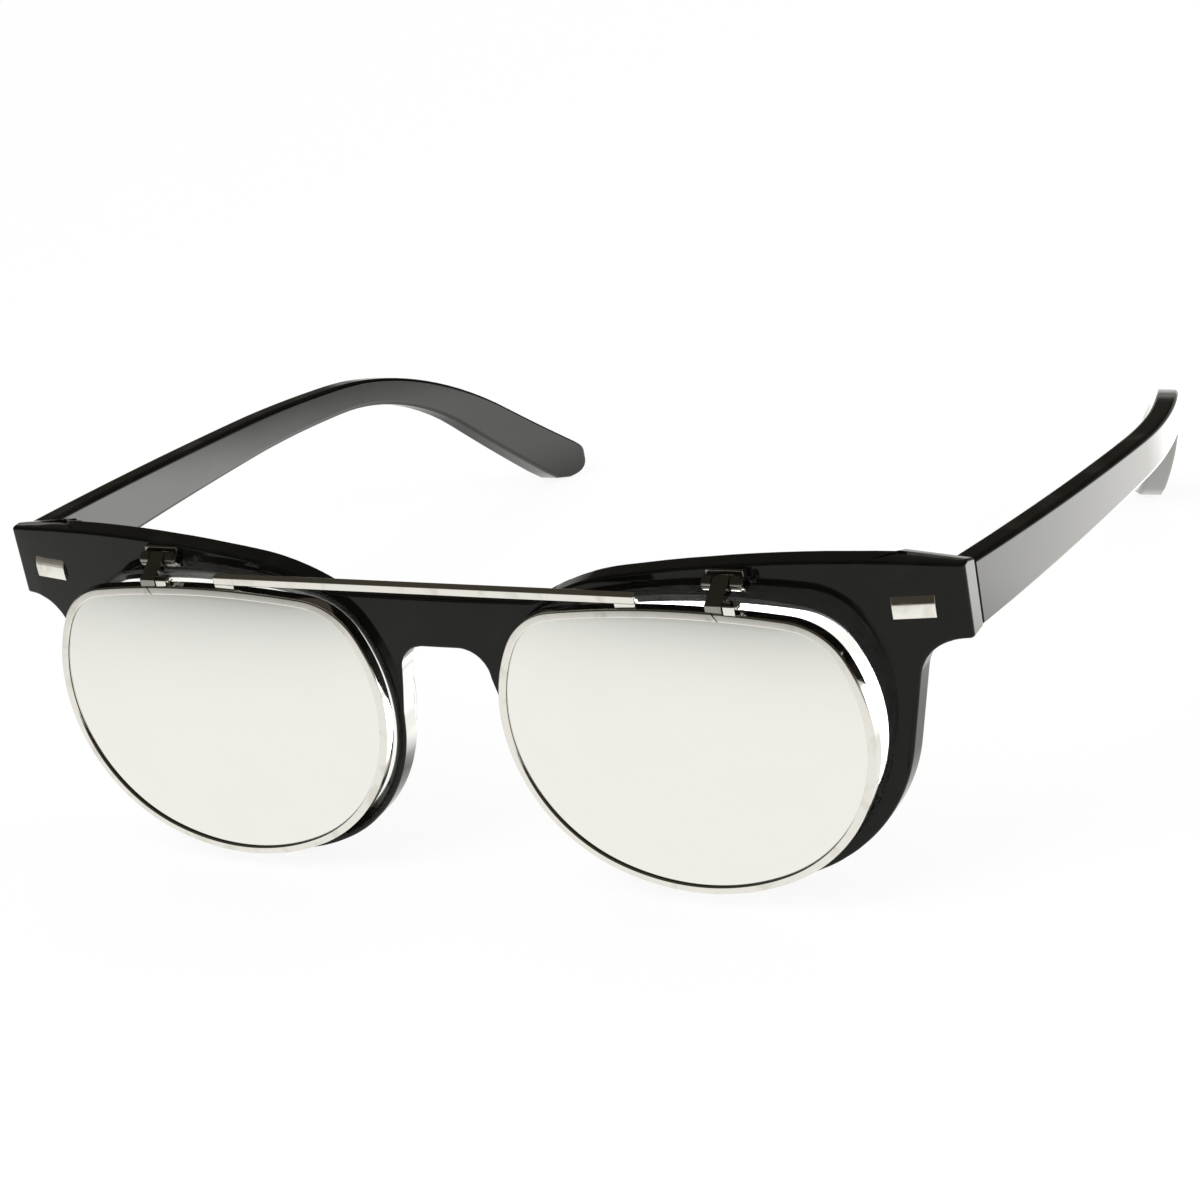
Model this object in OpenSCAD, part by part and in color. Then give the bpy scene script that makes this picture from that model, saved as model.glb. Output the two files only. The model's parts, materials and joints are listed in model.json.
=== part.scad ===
// Flip up sunglasses: a horn rimmed plastic front with clear lenses and two side arms,
// and a wire framed pair of mirror lenses that swings up on two small hinges on the brow.
// +X is the wearer's left, -Y is where the wearer looks, +Z is up. The glasses stand open
// on a table, on the bottoms of the rims and the tips of the temples. The sections below
// measure Y from the middle of the front's face; "stood" moves the whole to its origin,
// which is under the middle of its box.

/* [Lens shape] */
// Width of the lens opening
lens_w = 51.6; // [49:0.1:54]
// Height of the lens opening
lens_h = 39.1; // [37:0.1:41]
// Radius of the bottom of the lens
lens_bottom_r = 32; // [30:0.5:36]
// Radius of the sides of the lens
lens_side_r = 22; // [21:0.5:24]
// Radius of the upper corners of the lens
lens_corner_r = 9; // [7.5:0.1:10]
// Rise of the top edge between its corners
lens_crown = 1.25; // [1:0.05:2]

/* [Front] */
// Gap between the two lens openings
bridge_w = 19.8; // [17:0.1:23]
// Reach of the end piece beyond the lens opening
end_reach = 12.5; // [11.5:0.1:14]
// Thickness of the front, face to back
front_t = 3.6; // [3.5:0.1:4.6]
// Radius of the sideways curve of the face
face_r = 340; // [320:1:600]
// Width of the rim under the lens
rim_bottom_w = 2.6; // [2.4:0.1:4.5]
// Width of the rim beside the nose
rim_nose_w = 1.8; // [1.6:0.1:2.6]
// Width of the rim beside the temple
rim_side_w = 3.4; // [3:0.1:5]
// Height of the brow over the lens opening
brow_h = 6.3; // [6:0.1:9]
// Radius of the top edge of the brow
brow_r = 180; // [150:1:240]
// Radius where the brow falls to the bridge
brow_fall_r = 32; // [26:0.5:40]
// Fillet between the brow and the bridge
bridge_fillet_r = 4; // [2:0.1:6]
// Drop from the crest of the brow to the top of the bridge
bridge_drop = 5.8; // [4:0.1:6.5]
// Height of the bridge, top to nose arch
bridge_h = 7.4; // [6:0.1:9]
// Radius of the corners of the nose arch
arch_r = 4.2; // [3:0.1:5]
// Height of the end piece under the crest of the brow
end_h = 12.1; // [11.5:0.1:14]
// Depth of the end piece behind the face
end_depth = 3.9; // [3.8:0.1:6]
// Radius of the notch under the end piece
notch_r = 6; // [4:0.1:7]
// Width of the bevel round the lens opening
bevel_w = 2.1; // [1:0.1:2.2]
// Depth of the bevel round the lens opening
bevel_d = 1.5; // [1:0.1:1.6]
// Radius of a moulded nose pad
pad_r = 1.5; // [1.3:0.1:2.4]
// Length of a moulded nose pad
pad_l = 15; // [13:0.5:22]

/* [Clear lenses] */
// Thickness of a clear lens
clear_t = 1.2; // [1:0.1:1.4]
// Radius of the curve of a clear lens
clear_r = 250; // [220:1:400]
// Depth of the lens groove in the rim
groove_d = 0.8; // [0.5:0.05:1]

/* [Plaques] */
// Width of the metal plaque
plaque_w = 5.7; // [4:0.1:6.5]
// Height of the metal plaque
plaque_h = 3.3; // [2.5:0.1:4]
// Height of the plaque over the face
plaque_proud = 0.4; // [0.2:0.05:0.8]

/* [Temples] */
// Thickness of a temple
temple_t = 3.5; // [3.2:0.1:4.2]
// Height of a temple at its hinge
temple_h = 9.5; // [9:0.1:10]
// Reach of a temple behind the end piece
temple_len = 122; // [116:0.5:130]
// Length of the end of a temple that is bent down
bend_l = 40.5; // [40:0.5:46]
// Height of a temple where the bend begins
bend_h = 4.9; // [4.5:0.1:6]
// Radius of the upper edge of the bend
bend_r = 50; // [46:0.5:52]
// Radius of the rounded tip
tip_r = 3.2; // [2.8:0.1:3.8]
// Outward bow of a temple along its straight part
temple_bow = 2.5; // [1.5:0.1:4]
// Radius of the inward curve of the tip
tip_curve_r = 98; // [90:1:200]

/* [Temple hinges] */
// Radius of a hinge knuckle
knuckle_r = 1.4; // [1.2:0.05:1.6]
// Radius of the hinge screw
hinge_screw_r = 0.6; // [0.45:0.05:0.8]
// Height of the middle knuckle
mid_knuckle_h = 2.2; // [1.8:0.1:2.6]
// Height of each outer knuckle
end_knuckle_h = 1.8; // [1.4:0.1:2.1]

/* [Flip part] */
// Distance of the flip part before the face, at its foremost point
flip_stand = 4.1; // [3.8:0.1:6]
// Height of the flip lenses over the clear lenses
flip_rise = 0.8; // [0:0.1:1.4]
// Width of the rim wire, seen from the front
wire_w = 1.2; // [1:0.05:1.5]
// Depth of the rim wire, front to back
wire_d = 2; // [1.8:0.05:2.4]
// Radius of the curve of a mirror lens
mirror_r = 143; // [130:1:200]
// Thickness of a mirror lens
mirror_t = 1.2; // [0.9:0.05:1.4]
// Depth of the lens groove in the rim wire
wire_groove_d = 0.5; // [0.3:0.05:0.7]
// Side of the square bar over the nose
bar_s = 1.4; // [1.1:0.05:1.6]
// Length of the bar over the nose
bar_l = 65; // [58:0.5:70]

/* [Flip hinges] */
// Distance of a flip hinge from the middle of its lens
flip_hinge_out = 7.5; // [5:0.1:10]
// Height of the hinge axis over the flip rim
flip_axis_rise = 2.1; // [2:0.05:2.5]
// Radius of a flip hinge knuckle
flip_knuckle_r = 1; // [0.9:0.05:1.15]
// Radius of the flip screw
flip_screw_r = 0.5; // [0.35:0.05:0.6]
// Width of the moving tab
tab_w = 2.4; // [2:0.1:2.8]
// Width of the fixed bracket
bracket_w = 5.4; // [5:0.1:6]

/* [Fits] */
// Clearance round a screw or pin
pin_gap = 0.05; // [0.03:0.01:0.08]
// Clearance round a lens or a let in plate
seat_gap = 0.05; // [0.02:0.01:0.1]
// Gap between knuckles that turn on each other
knuckle_gap = 0.1; // [0.05:0.01:0.15]
// Gap between the end piece and the open temple
temple_gap = 0.1; // [0.05:0.01:0.3]
// Gap between the end piece and the hinge knuckles
knuckle_clear = 0.3; // [0.2:0.05:0.5]

/* [Hidden] */
$fn = 96;
right = -1;
left = 1;
eps = 0.01;
// Largest turn between two points of an outline, in degrees
arc_step = 5;
black = "#16161a";
chrome = "#c8cacb";
mirror_grey = "#b9bcbc";
clear_tint = "#e8eef0";

// Places across the front
lens_x = bridge_w/2 + lens_w/2;
end_x = bridge_w/2 + lens_w + end_reach;
// Heights
lens_z = rim_bottom_w + lens_h/2;
crest_z = rim_bottom_w + lens_h + brow_h;
bridge_z = crest_z - bridge_drop;
arch_z = bridge_z - bridge_h;
end_z = crest_z - end_h;
// Depths
function face_y(x) = face_r - sqrt(face_r*face_r - x*x);
end_y = face_y(end_x) + end_depth;

// A lens outline is a ring of six arcs that run into each other: bottom, side, corner, top,
// corner, side. Each arc is [centre, radius, first angle, last angle]. grow moves the whole
// outline outwards by an even amount.
function lens_arcs(w, h, grow) =
    let (rb = lens_bottom_r + grow, rs = lens_side_r + grow, rc = lens_corner_r + grow,
        side_x = w/2 - rs,
        bottom_z = -h/2 + rb,
        side_z = bottom_z - sqrt((rb - rs)*(rb - rs) - side_x*side_x),
        corner_z = h/2 - lens_crown - rc,
        up = asin((corner_z - side_z)/(rs - rc)),
        corner_x = side_x + (rs - rc)*cos(up),
        rt = (corner_x*corner_x + lens_crown*lens_crown)/(2*lens_crown) + rc,
        down = atan2(side_z - bottom_z, side_x),
        crown = atan2(corner_z - h/2 + rt, corner_x))
    [[[0, bottom_z], rb, -180 - down, down],
        [[side_x, side_z], rs, down, up],
        [[corner_x, corner_z], rc, up, crown],
        [[0, h/2 - rt], rt, crown, 180 - crown],
        [[-corner_x, corner_z], rc, 180 - crown, 180 - up],
        [[-side_x, side_z], rs, 180 - up, 180 - down]];
function opening_arcs(grow) = lens_arcs(lens_w + 2*grow, lens_h + 2*grow, grow);
function at_angle(a, r, angle) = a[0] + r*[cos(angle), sin(angle)];
// Points along an arc from its first angle to just before its last, and a whole outline
function arc_points(a) =
    let (n = max(2, ceil(abs(a[3] - a[2])/arc_step)))
    [for (i = [0:n - 1]) at_angle(a, a[1], a[2] + (a[3] - a[2])*i/n)];
function ring_points(arcs) = [for (a = arcs) each arc_points(a)];

module ring_area(arcs) {
    polygon(ring_points(arcs));
}
// A solid through a row of equal rings of points, each given as [points, height]
module through_rings(rings) {
    n = len(rings[0][0]);
    last = len(rings) - 1;
    polyhedron(
        points = [for (ring = rings, p = ring[0]) [p[0], p[1], ring[1]]],
        faces = [[for (i = [0:n - 1]) i],
            for (k = [0:last - 1], i = [0:n - 1])
                [k*n + i, (k + 1)*n + i, (k + 1)*n + (i + 1)%n, k*n + (i + 1)%n],
            [for (i = [n - 1:-1:0]) last*n + i]]);
}

// Turns a drawing in X and Z into a solid from y0 to y1
module from_front(y0, y1) {
    translate([0, y1, 0]) rotate([90, 0, 0]) linear_extrude(y1 - y0) children();
}
module on_side(side) {
    mirror([side < 0 ? 1 : 0, 0, 0]) children();
}
// What lies in a layer of even thickness round a sphere, where y is the depth of the
// sphere's foremost point
module in_curved_layer(centre, r, y, t) {
    difference() {
        intersection() {
            children();
            translate([centre[0], y + r, centre[1]]) sphere(r + t/2, $fn = 192);
        }
        translate([centre[0], y + r, centre[1]]) sphere(r - t/2, $fn = 192);
    }
}

// Front

// The brow's highest point, and how far inside the lens centre its long arc ends
brow_in = 23;
brow_x = end_x - brow_in;
brow_start = 7.7;
brow_centre = [brow_x, crest_z - brow_r];
fall_turn = asin((brow_x - lens_x + brow_start)/brow_r);
fall_centre = brow_centre + (brow_r - brow_fall_r)*[-sin(fall_turn), cos(fall_turn)];
foot_turn = acos((bridge_z + bridge_fillet_r - fall_centre[1])/(brow_fall_r + bridge_fillet_r));
fillet_centre = fall_centre + (brow_fall_r + bridge_fillet_r)*[-sin(foot_turn), cos(foot_turn)];

// Rim, from its side down round the lens and up beside the nose
outer_w = lens_w + rim_nose_w + rim_side_w;
outer_h = lens_h + 2*rim_bottom_w;
outer_x = lens_x + (rim_side_w - rim_nose_w)/2;
outer_arcs = lens_arcs(outer_w, outer_h, (rim_nose_w + rim_side_w)/2);
function placed(a, from, to) = [a[0] + [outer_x, lens_z], a[1], from, to];
side_lean = 12;
side_arc = placed(outer_arcs[1], -side_lean, outer_arcs[1][2]);
bottom_arc = placed(outer_arcs[0], outer_arcs[0][3], outer_arcs[0][2]);
nose_arc = placed(outer_arcs[5], outer_arcs[5][3] - 360, -180);
side_foot = at_angle(side_arc, side_arc[1], -side_lean);
notch_z = end_z - notch_r;
side_top_z = notch_z + notch_r*sin(side_lean);
side_top = [side_foot[0] + (side_top_z - side_foot[1])*tan(side_lean), side_top_z];
notch_x = side_top[0] + notch_r*cos(side_lean);
nose_x = outer_x - outer_w/2;
arch_step = 1.2;
arch_x = nose_x - arch_step;
// Stock beyond the end pieces that the plan trims away
end_stock = 3;

// The front's right hand outline, from the middle of the bridge out over the brow, down the
// end piece, round the rim and back under the bridge
half_front = [
    [0, bridge_z],
    each arc_points([fillet_centre, bridge_fillet_r, -90, -90 + foot_turn]),
    each arc_points([fall_centre, brow_fall_r, 90 + foot_turn, 90 + fall_turn]),
    each arc_points([brow_centre, brow_r, 90 + fall_turn, acos((end_x - brow_x)/brow_r)]),
    [end_x, brow_centre[1] + sqrt(brow_r*brow_r - pow(end_x - brow_x, 2))],
    [end_x + end_stock, brow_centre[1] + sqrt(brow_r*brow_r - pow(end_x - brow_x, 2))],
    [end_x + end_stock, end_z],
    each arc_points([[notch_x, notch_z], notch_r, 90, 180 - side_lean]),
    side_top,
    each arc_points(side_arc),
    each arc_points(bottom_arc),
    each arc_points(nose_arc),
    [nose_x, nose_arc[0][1]],
    each arc_points([[arch_x - arch_r, arch_z - arch_r], arch_r, 0, 90]),
    [arch_x - arch_r, arch_z]];
function mirrored(points) = [for (i = [len(points) - 1:-1:1]) [-points[i][0], points[i][1]]];

module front_area() {
    polygon(concat(half_front, mirrored(half_front)));
}

// The front from above: a curved wall, end pieces that run back from it, and the outline
// that both are trimmed to
function wall_rear_y(x) = face_r - sqrt(pow(face_r - front_t, 2) - x*x);
module wall_plan() {
    reach = end_x + 2;
    intersection() {
        translate([0, face_r]) circle(face_r, $fn = 720);
        polygon(concat([[-reach, -1], [reach, -1]],
            [for (x = [reach:-reach/12:-reach]) [x, wall_rear_y(x)]]));
    }
}
end_block_w = 9.5;
end_inner_x = end_x - end_block_w;
module end_plan() {
    root_x = end_inner_x - 4;
    polygon([[root_x, face_y(root_x) + 1], [end_x + 1, face_y(end_x) + 1.5],
        [end_x + 1, end_y + 1], [end_inner_x, end_y + 1], [end_inner_x, end_y - 2],
        [root_x, wall_rear_y(root_x) - 0.5]]);
}
end_corner_r = 0.8;
module trim_plan() {
    corner = [end_x - end_corner_r, face_y(end_x) + end_corner_r];
    half_trim = [
        [0, -2],
        [corner[0] - 2, -2],
        each arc_points([corner, end_corner_r, -82, 0]),
        [end_x, corner[1]],
        [end_x, end_y]];
    polygon(concat(half_trim, mirrored(half_trim)));
}

temple_top_z = end_z + temple_h;
// The end piece falls back towards the top of the temple, and outwards by a small tilt
end_top_drop = 1;
end_top_step = 0.2;
end_tilt = 5.5;
end_front_z = crest_z - end_top_drop;
end_fall = atan2(end_front_z - temple_top_z - end_top_step, end_depth);
module end_top_cut() {
    translate([end_x, face_y(end_x), end_front_z]) rotate([-end_fall, end_tilt, 0]) {
        translate([-30, -10, 0]) cube([40, 40, 10]);
    }
}

// Everything that belongs to one lens opening turns with the face there
lens_turn = asin(lens_x/face_r);
module at_opening() {
    translate([lens_x, face_y(lens_x), lens_z]) rotate([0, 0, lens_turn]) children();
}
// A clear lens lies this far before the middle of the wall behind the bevel
clear_ahead = 0.85;
clear_y = (front_t + bevel_d)/2 - clear_ahead;
module opening_cut() {
    at_opening() {
        rotate([90, 0, 0]) through_rings([
            [ring_points(opening_arcs(0)), -front_t - 8],
            [ring_points(opening_arcs(0)), -bevel_d],
            [ring_points(opening_arcs(bevel_w*(1 + 1/bevel_d))), 1]]);
    }
}
module lens_groove() {
    at_opening() in_curved_layer([0, 0], clear_r, clear_y, clear_t + 2*seat_gap) {
        from_front(-1, front_t + 4) ring_area(opening_arcs(groove_d));
    }
}

// A nose pad is a long round swelling on the rear of the rim, leaned with the nose
pad_tilt = 11;
pad_in = 1.7;
pad_behind = 0.1;
pad_up = 1.5;
pad_place = [nose_x + pad_in, front_t + pad_behind, lens_z + pad_up];
module nose_pad() {
    translate(pad_place) rotate([0, -pad_tilt, 0]) rotate([0, 0, -90]) {
        rotate_extrude($fn = 72) {
            polygon([for (a = [-90:6:90]) [pad_r*cos(a), pad_l/2*sin(a)]]);
        }
    }
}

module on_both_sides() {
    for (side = [right, left]) on_side(side) children();
}
module front_blank() {
    intersection() {
        from_front(-3, end_y + 3) front_area();
        union() {
            translate([0, 0, -1]) linear_extrude(crest_z + 3) wall_plan();
            on_both_sides() {
                translate([0, 0, end_z - 1]) linear_extrude(end_h + 3) end_plan();
            }
        }
        translate([0, 0, -2]) linear_extrude(crest_z + 5) trim_plan();
    }
    on_both_sides() nose_pad();
}
module front_frame() {
    color(black) stood() difference() {
        difference() {
            difference() {
                front_blank();
                on_both_sides() end_top_cut();
                on_both_sides() plaque_pocket();
                on_both_sides() hinge_pocket();
            }
            on_both_sides() opening_cut();
            on_both_sides() bracket_pocket();
        }
        on_both_sides() lens_groove();
    }
}

module clear_lens(side) {
    color(clear_tint) stood() on_side(side) at_opening() {
        in_curved_layer([0, 0], clear_r, clear_y, clear_t) {
            from_front(-1, front_t + 4) ring_area(opening_arcs(groove_d - seat_gap));
        }
    }
}

// Plaques

plaque_in = 6.8;
plaque_up = 5.1;
plaque_sunk = 0.6;
plaque_x = end_x - plaque_in;
plaque_z = end_z + plaque_up;
plaque_t = plaque_proud + plaque_sunk;
plaque_pin_r = 0.6;
plaque_pin_l = 1.8;
module at_plaque() {
    translate([plaque_x, face_y(plaque_x) - plaque_proud, plaque_z]) {
        rotate([0, 0, asin(plaque_x/face_r)]) children();
    }
}
module plaque_shape(gap) {
    translate([-plaque_w/2 - gap, 0, -plaque_h/2 - gap]) {
        cube([plaque_w + 2*gap, plaque_t + gap, plaque_h + 2*gap]);
    }
    for (x = [-plaque_w/4, plaque_w/4]) translate([x, plaque_t - eps, 0]) rotate([-90, 0, 0]) {
        cylinder(plaque_pin_l + gap, plaque_pin_r + gap, plaque_pin_r + gap, $fn = 32);
    }
}
module plaque_pocket() {
    at_plaque() plaque_shape(seat_gap);
}
module plaque(side) {
    color(chrome) stood() on_side(side) at_plaque() plaque_shape(0);
}

// Temple hinges

hinge_in = 3;
hinge_drop = 0.6;
hinge_x = end_x - temple_t - hinge_in;
hinge_y = end_y + knuckle_clear + knuckle_r;
hinge_z = end_z + temple_h/2 - hinge_drop;
stack_h = mid_knuckle_h + 2*knuckle_gap + 2*end_knuckle_h;
leaf_t = 1;
leaf_h = stack_h + 1;
leaf_w = 5;
anchor_r = 0.6;
anchor_l = 1.8;
module at_hinge() {
    translate([hinge_x, hinge_y, hinge_z]) children();
}
module front_leaf_base(gap) {
    translate([hinge_x - leaf_w/2 - gap, end_y - leaf_t - gap, hinge_z - leaf_h/2 - gap]) {
        cube([leaf_w + 2*gap, leaf_t + 2*gap, leaf_h + 2*gap]);
    }
    for (z = [-leaf_h/4, leaf_h/4]) translate([hinge_x, end_y - leaf_t + eps, hinge_z + z]) {
        rotate([90, 0, 0]) cylinder(anchor_l + gap, anchor_r + gap, anchor_r + gap, $fn = 32);
    }
}
module hinge_pocket() {
    front_leaf_base(seat_gap);
}
module front_hinge(side) {
    color(chrome) stood() on_side(side) difference() {
        union() {
            front_leaf_base(0);
            at_hinge() for (up = [-1, 1]) {
                translate([0, 0, up*(stack_h - end_knuckle_h)/2]) {
                    cylinder(end_knuckle_h, knuckle_r, knuckle_r, center = true);
                    translate([-knuckle_r, end_y - hinge_y - leaf_t/2, -end_knuckle_h/2]) {
                        cube([2*knuckle_r, hinge_y - end_y + leaf_t/2, end_knuckle_h]);
                    }
                }
            }
        }
        at_hinge() cylinder(stack_h + 2, hinge_screw_r + pin_gap, hinge_screw_r + pin_gap,
            center = true);
    }
}

screw_head_h = 0.5;
screw_head_r = 1.15;
module hinge_screw(side) {
    color(chrome) stood() on_side(side) at_hinge() difference() {
        union() {
            translate([0, 0, -stack_h/2]) cylinder(stack_h + eps, hinge_screw_r, hinge_screw_r);
            translate([0, 0, stack_h/2]) cylinder(screw_head_h, screw_head_r, screw_head_r - 0.2);
        }
        translate([0, 0, stack_h/2 + screw_head_h]) cube([3, 0.3, 0.5], center = true);
    }
}

temple_inner_x = end_x - temple_t;
temple_leaf_l = 7.2;
temple_leaf_h = 4.8;
temple_leaf_proud = 0.6;
module temple_leaf_base(gap) {
    translate([temple_inner_x - temple_leaf_proud - gap, hinge_y - knuckle_r,
            hinge_z - temple_leaf_h/2 - gap]) {
        cube([leaf_t + temple_leaf_proud + 2*gap, temple_leaf_l + gap, temple_leaf_h + 2*gap]);
    }
}
module temple_hinge(side) {
    color(chrome) stood() on_side(side) difference() {
        union() {
            temple_leaf_base(0);
            at_hinge() {
                cylinder(mid_knuckle_h, knuckle_r, knuckle_r, center = true);
                translate([0, -knuckle_r, -mid_knuckle_h/2]) {
                    cube([temple_inner_x - hinge_x, 2*knuckle_r, mid_knuckle_h]);
                }
            }
        }
        at_hinge() cylinder(stack_h + 2, hinge_screw_r + pin_gap, hinge_screw_r + pin_gap,
            center = true);
    }
}

// Temples

temple_y = end_y + temple_gap;
bend_y = end_y + temple_len - bend_l;
tip = [end_y + temple_len - tip_r, tip_r];
top_start = [temple_y, temple_top_z];
bend_drop = 3.2;
top_bend = [bend_y, end_z - bend_drop];
foot_start = [temple_y, end_z];
foot_bend = top_bend - [0, bend_h];
bend_r_step = 16;
foot_bend_r = bend_r - bend_r_step;
top_slope = atan2(top_start[1] - top_bend[1], top_bend[0] - top_start[0]);
foot_slope = atan2(foot_start[1] - foot_bend[1], foot_bend[0] - foot_start[0]);
top_centre = top_bend - bend_r*[sin(top_slope), cos(top_slope)];
foot_centre = foot_bend - foot_bend_r*[sin(foot_slope), cos(foot_slope)];
top_to_tip = tip - top_centre;
foot_to_tip = tip - foot_centre;
// Direction in which the upper and lower edges face where they run straight to the tip
top_facing = atan2(top_to_tip[1], top_to_tip[0])
    + acos(min(1, (bend_r - tip_r)/norm(top_to_tip)));
foot_facing = atan2(foot_to_tip[1], foot_to_tip[0])
    + acos((foot_bend_r + tip_r)/norm(foot_to_tip));
temple_side = [
    foot_start,
    top_start,
    each arc_points([top_centre, bend_r, 90 - top_slope, top_facing]),
    at_angle([top_centre], bend_r, top_facing),
    each arc_points([tip, tip_r, top_facing, foot_facing - 180]),
    at_angle([tip], -tip_r, foot_facing),
    each arc_points([foot_centre, foot_bend_r, foot_facing, 90 - foot_slope]),
    foot_bend];

// Share of the straight part at which a temple bows out the most
bow_share = 0.72;
bow_y = temple_y + (bend_y - temple_y)*bow_share;
bow_x = end_x + temple_bow;
bow_r = ((bow_y - temple_y)*(bow_y - temple_y) + temple_bow*temple_bow)/(2*temple_bow);
module temple_plan() {
    back_y = end_y + temple_len + 1;
    intersection() {
        translate([bow_x - bow_r, bow_y]) difference() {
            circle(bow_r, $fn = 720);
            circle(bow_r - temple_t, $fn = 720);
        }
        translate([end_x - 12, temple_y]) square([20, bow_y - temple_y]);
    }
    intersection() {
        translate([bow_x - tip_curve_r, bow_y]) difference() {
            circle(tip_curve_r, $fn = 360);
            circle(tip_curve_r - temple_t, $fn = 360);
        }
        translate([end_x - 50, bow_y - eps]) square([60, back_y - bow_y]);
    }
}

module temple(side) {
    color(black) stood() on_side(side) difference() {
        intersection() {
            linear_extrude(crest_z) temple_plan();
            translate([end_x - 50, 0, 0]) rotate([90, 0, 90]) linear_extrude(60) {
                polygon(temple_side);
            }
        }
        temple_leaf_base(seat_gap);
    }
}

// Flip part: it hangs before the front from two hinges in one line

// The flip lenses stand a little further apart than the clear ones
flip_spread = 0.35;
flip_x = lens_x + flip_spread;
flip_z = lens_z + flip_rise;
flip_top_z = flip_z + lens_h/2 + wire_w;
flip_hinge_x = flip_x + flip_hinge_out;
flip_axis_z = flip_top_z + flip_axis_rise;
flip_axis_ahead = 1.35;
flip_axis_y = face_y(flip_hinge_x) - flip_axis_ahead;
// Foremost point of the curve that the mirror lenses share with their rims
mirror_in = 2.3;
mirror_drop = 3.7;
mirror_centre = [flip_x - mirror_in, flip_z - mirror_drop];
function flip_y(x, z) = -flip_stand + mirror_r
    - sqrt(pow(mirror_r, 2) - pow(x - mirror_centre[0], 2) - pow(z - mirror_centre[1], 2));
module flip_area(grow) {
    translate([flip_x, flip_z]) ring_area(opening_arcs(grow));
}
flip_back_y = 2;

module mirror_lens(side) {
    color(mirror_grey) stood() on_side(side) {
        in_curved_layer(mirror_centre, mirror_r, -flip_stand, mirror_t) {
            from_front(-flip_stand - 2, flip_back_y) flip_area(wire_groove_d - seat_gap);
        }
    }
}

// The closing block: its two halves sit on the rim on either side of the split, and the
// rim screw runs through them. All parts of it face the same way on both sides.
block_d = 1.9;
block_h = 1.25;
block_y = flip_y(flip_hinge_x, flip_top_z);
block_sunk = 0.3;
block_z = flip_top_z - block_sunk;
lug_l = 1.7;
lug_gap = 0.15;
split_w = 0.15;
split_turn = 35;
split_out = 0.2;
rim_screw_r = 0.35;
rim_screw_up = 0.7;
rim_screw_z = block_z + rim_screw_up;
rim_head_r = 0.6;
rim_head_h = 0.35;
// How far the rim screw's thread reaches into the moving tab
rim_thread_l = tab_w*0.6;
function hinge_side_x(side) = side*flip_hinge_x;

module flip_rim(side) {
    lug_x = hinge_side_x(side) + tab_w/2 + lug_gap;
    color(chrome) stood() difference() {
        union() {
            on_side(side) in_curved_layer(mirror_centre, mirror_r, -flip_stand, wire_d) {
                from_front(-flip_stand - 3, flip_back_y) difference() {
                    flip_area(wire_w);
                    flip_area(0);
                }
            }
            difference() {
                translate([lug_x, block_y - block_d/2, block_z - 0.6]) {
                    cube([lug_l, block_d, block_h + 0.4]);
                }
                on_side(side) from_front(-flip_stand - 3, flip_back_y) flip_area(wire_w/2);
            }
        }
        on_side(side) in_curved_layer(mirror_centre, mirror_r, -flip_stand,
            mirror_t + 2*seat_gap) {
            from_front(-flip_stand - 3, flip_back_y) flip_area(wire_groove_d);
        }
        translate([hinge_side_x(side) + split_out, block_y, flip_top_z - 1]) {
            rotate([0, -split_turn, 0]) cube([split_w, wire_d + 1, 4], center = true);
        }
        translate([lug_x - 1, block_y, rim_screw_z]) rotate([0, 90, 0]) {
            cylinder(lug_l + 2, rim_screw_r + pin_gap, rim_screw_r + pin_gap, $fn = 32);
        }
    }
}

module rim_screw(side) {
    head_x = hinge_side_x(side) + tab_w/2 + lug_gap + lug_l;
    shank_l = lug_l + lug_gap + rim_thread_l;
    color(chrome) stood() translate([head_x, block_y, rim_screw_z]) rotate([0, 90, 0]) {
        difference() {
            union() {
                translate([0, 0, -shank_l]) cylinder(shank_l + eps, rim_screw_r, rim_screw_r, $fn = 32);
                cylinder(rim_head_h, rim_head_r, rim_head_r - 0.1, $fn = 32);
            }
            translate([0, 0, rim_head_h]) cube([0.2, 2, 0.3], center = true);
        }
    }
}

module at_flip_axis(side) {
    translate([hinge_side_x(side), flip_axis_y, flip_axis_z]) children();
}
module flip_bore() {
    rotate([0, 90, 0]) {
        cylinder(bracket_w + 2, flip_screw_r + pin_gap, flip_screw_r + pin_gap,
            center = true, $fn = 48);
    }
}

module flip_tab(side) {
    foot_y = block_y - block_d/2;
    color(chrome) stood() difference() {
        union() {
            at_flip_axis(side) rotate([0, 90, 0]) {
                cylinder(tab_w, flip_knuckle_r, flip_knuckle_r, center = true, $fn = 48);
            }
            translate([hinge_side_x(side) - tab_w/2, 0, 0]) rotate([90, 0, 90]) {
                linear_extrude(tab_w) polygon([[foot_y, block_z - 0.4],
                    [foot_y, block_z + block_h - 0.2],
                    [flip_axis_y - 0.8*flip_knuckle_r, flip_axis_z + 0.6*flip_knuckle_r],
                    [flip_axis_y, flip_axis_z], [flip_axis_y, flip_axis_z - flip_knuckle_r],
                    [foot_y + block_d, block_z + 0.7], [foot_y + block_d, block_z - 0.4]]);
            }
        }
        on_side(side) from_front(-flip_stand - 3, flip_back_y) flip_area(wire_w);
        at_flip_axis(side) flip_bore();
        translate([hinge_side_x(side) + tab_w/2 + eps, block_y, rim_screw_z]) rotate([0, -90, 0]) {
            cylinder(rim_thread_l + 0.2, rim_screw_r + pin_gap, rim_screw_r + pin_gap, $fn = 32);
        }
    }
}

bracket_top = 1.5;
bracket_foot = 1.5;
bracket_behind = 0.7;
bracket_sunk = 0.8;
bracket_face_y = flip_axis_y + bracket_behind;
bracket_back_y = face_y(flip_hinge_x) + bracket_sunk;
bracket_leg_r = 0.5;
bracket_leg_l = 1.2;
bracket_leg_up = 0.9;
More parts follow.
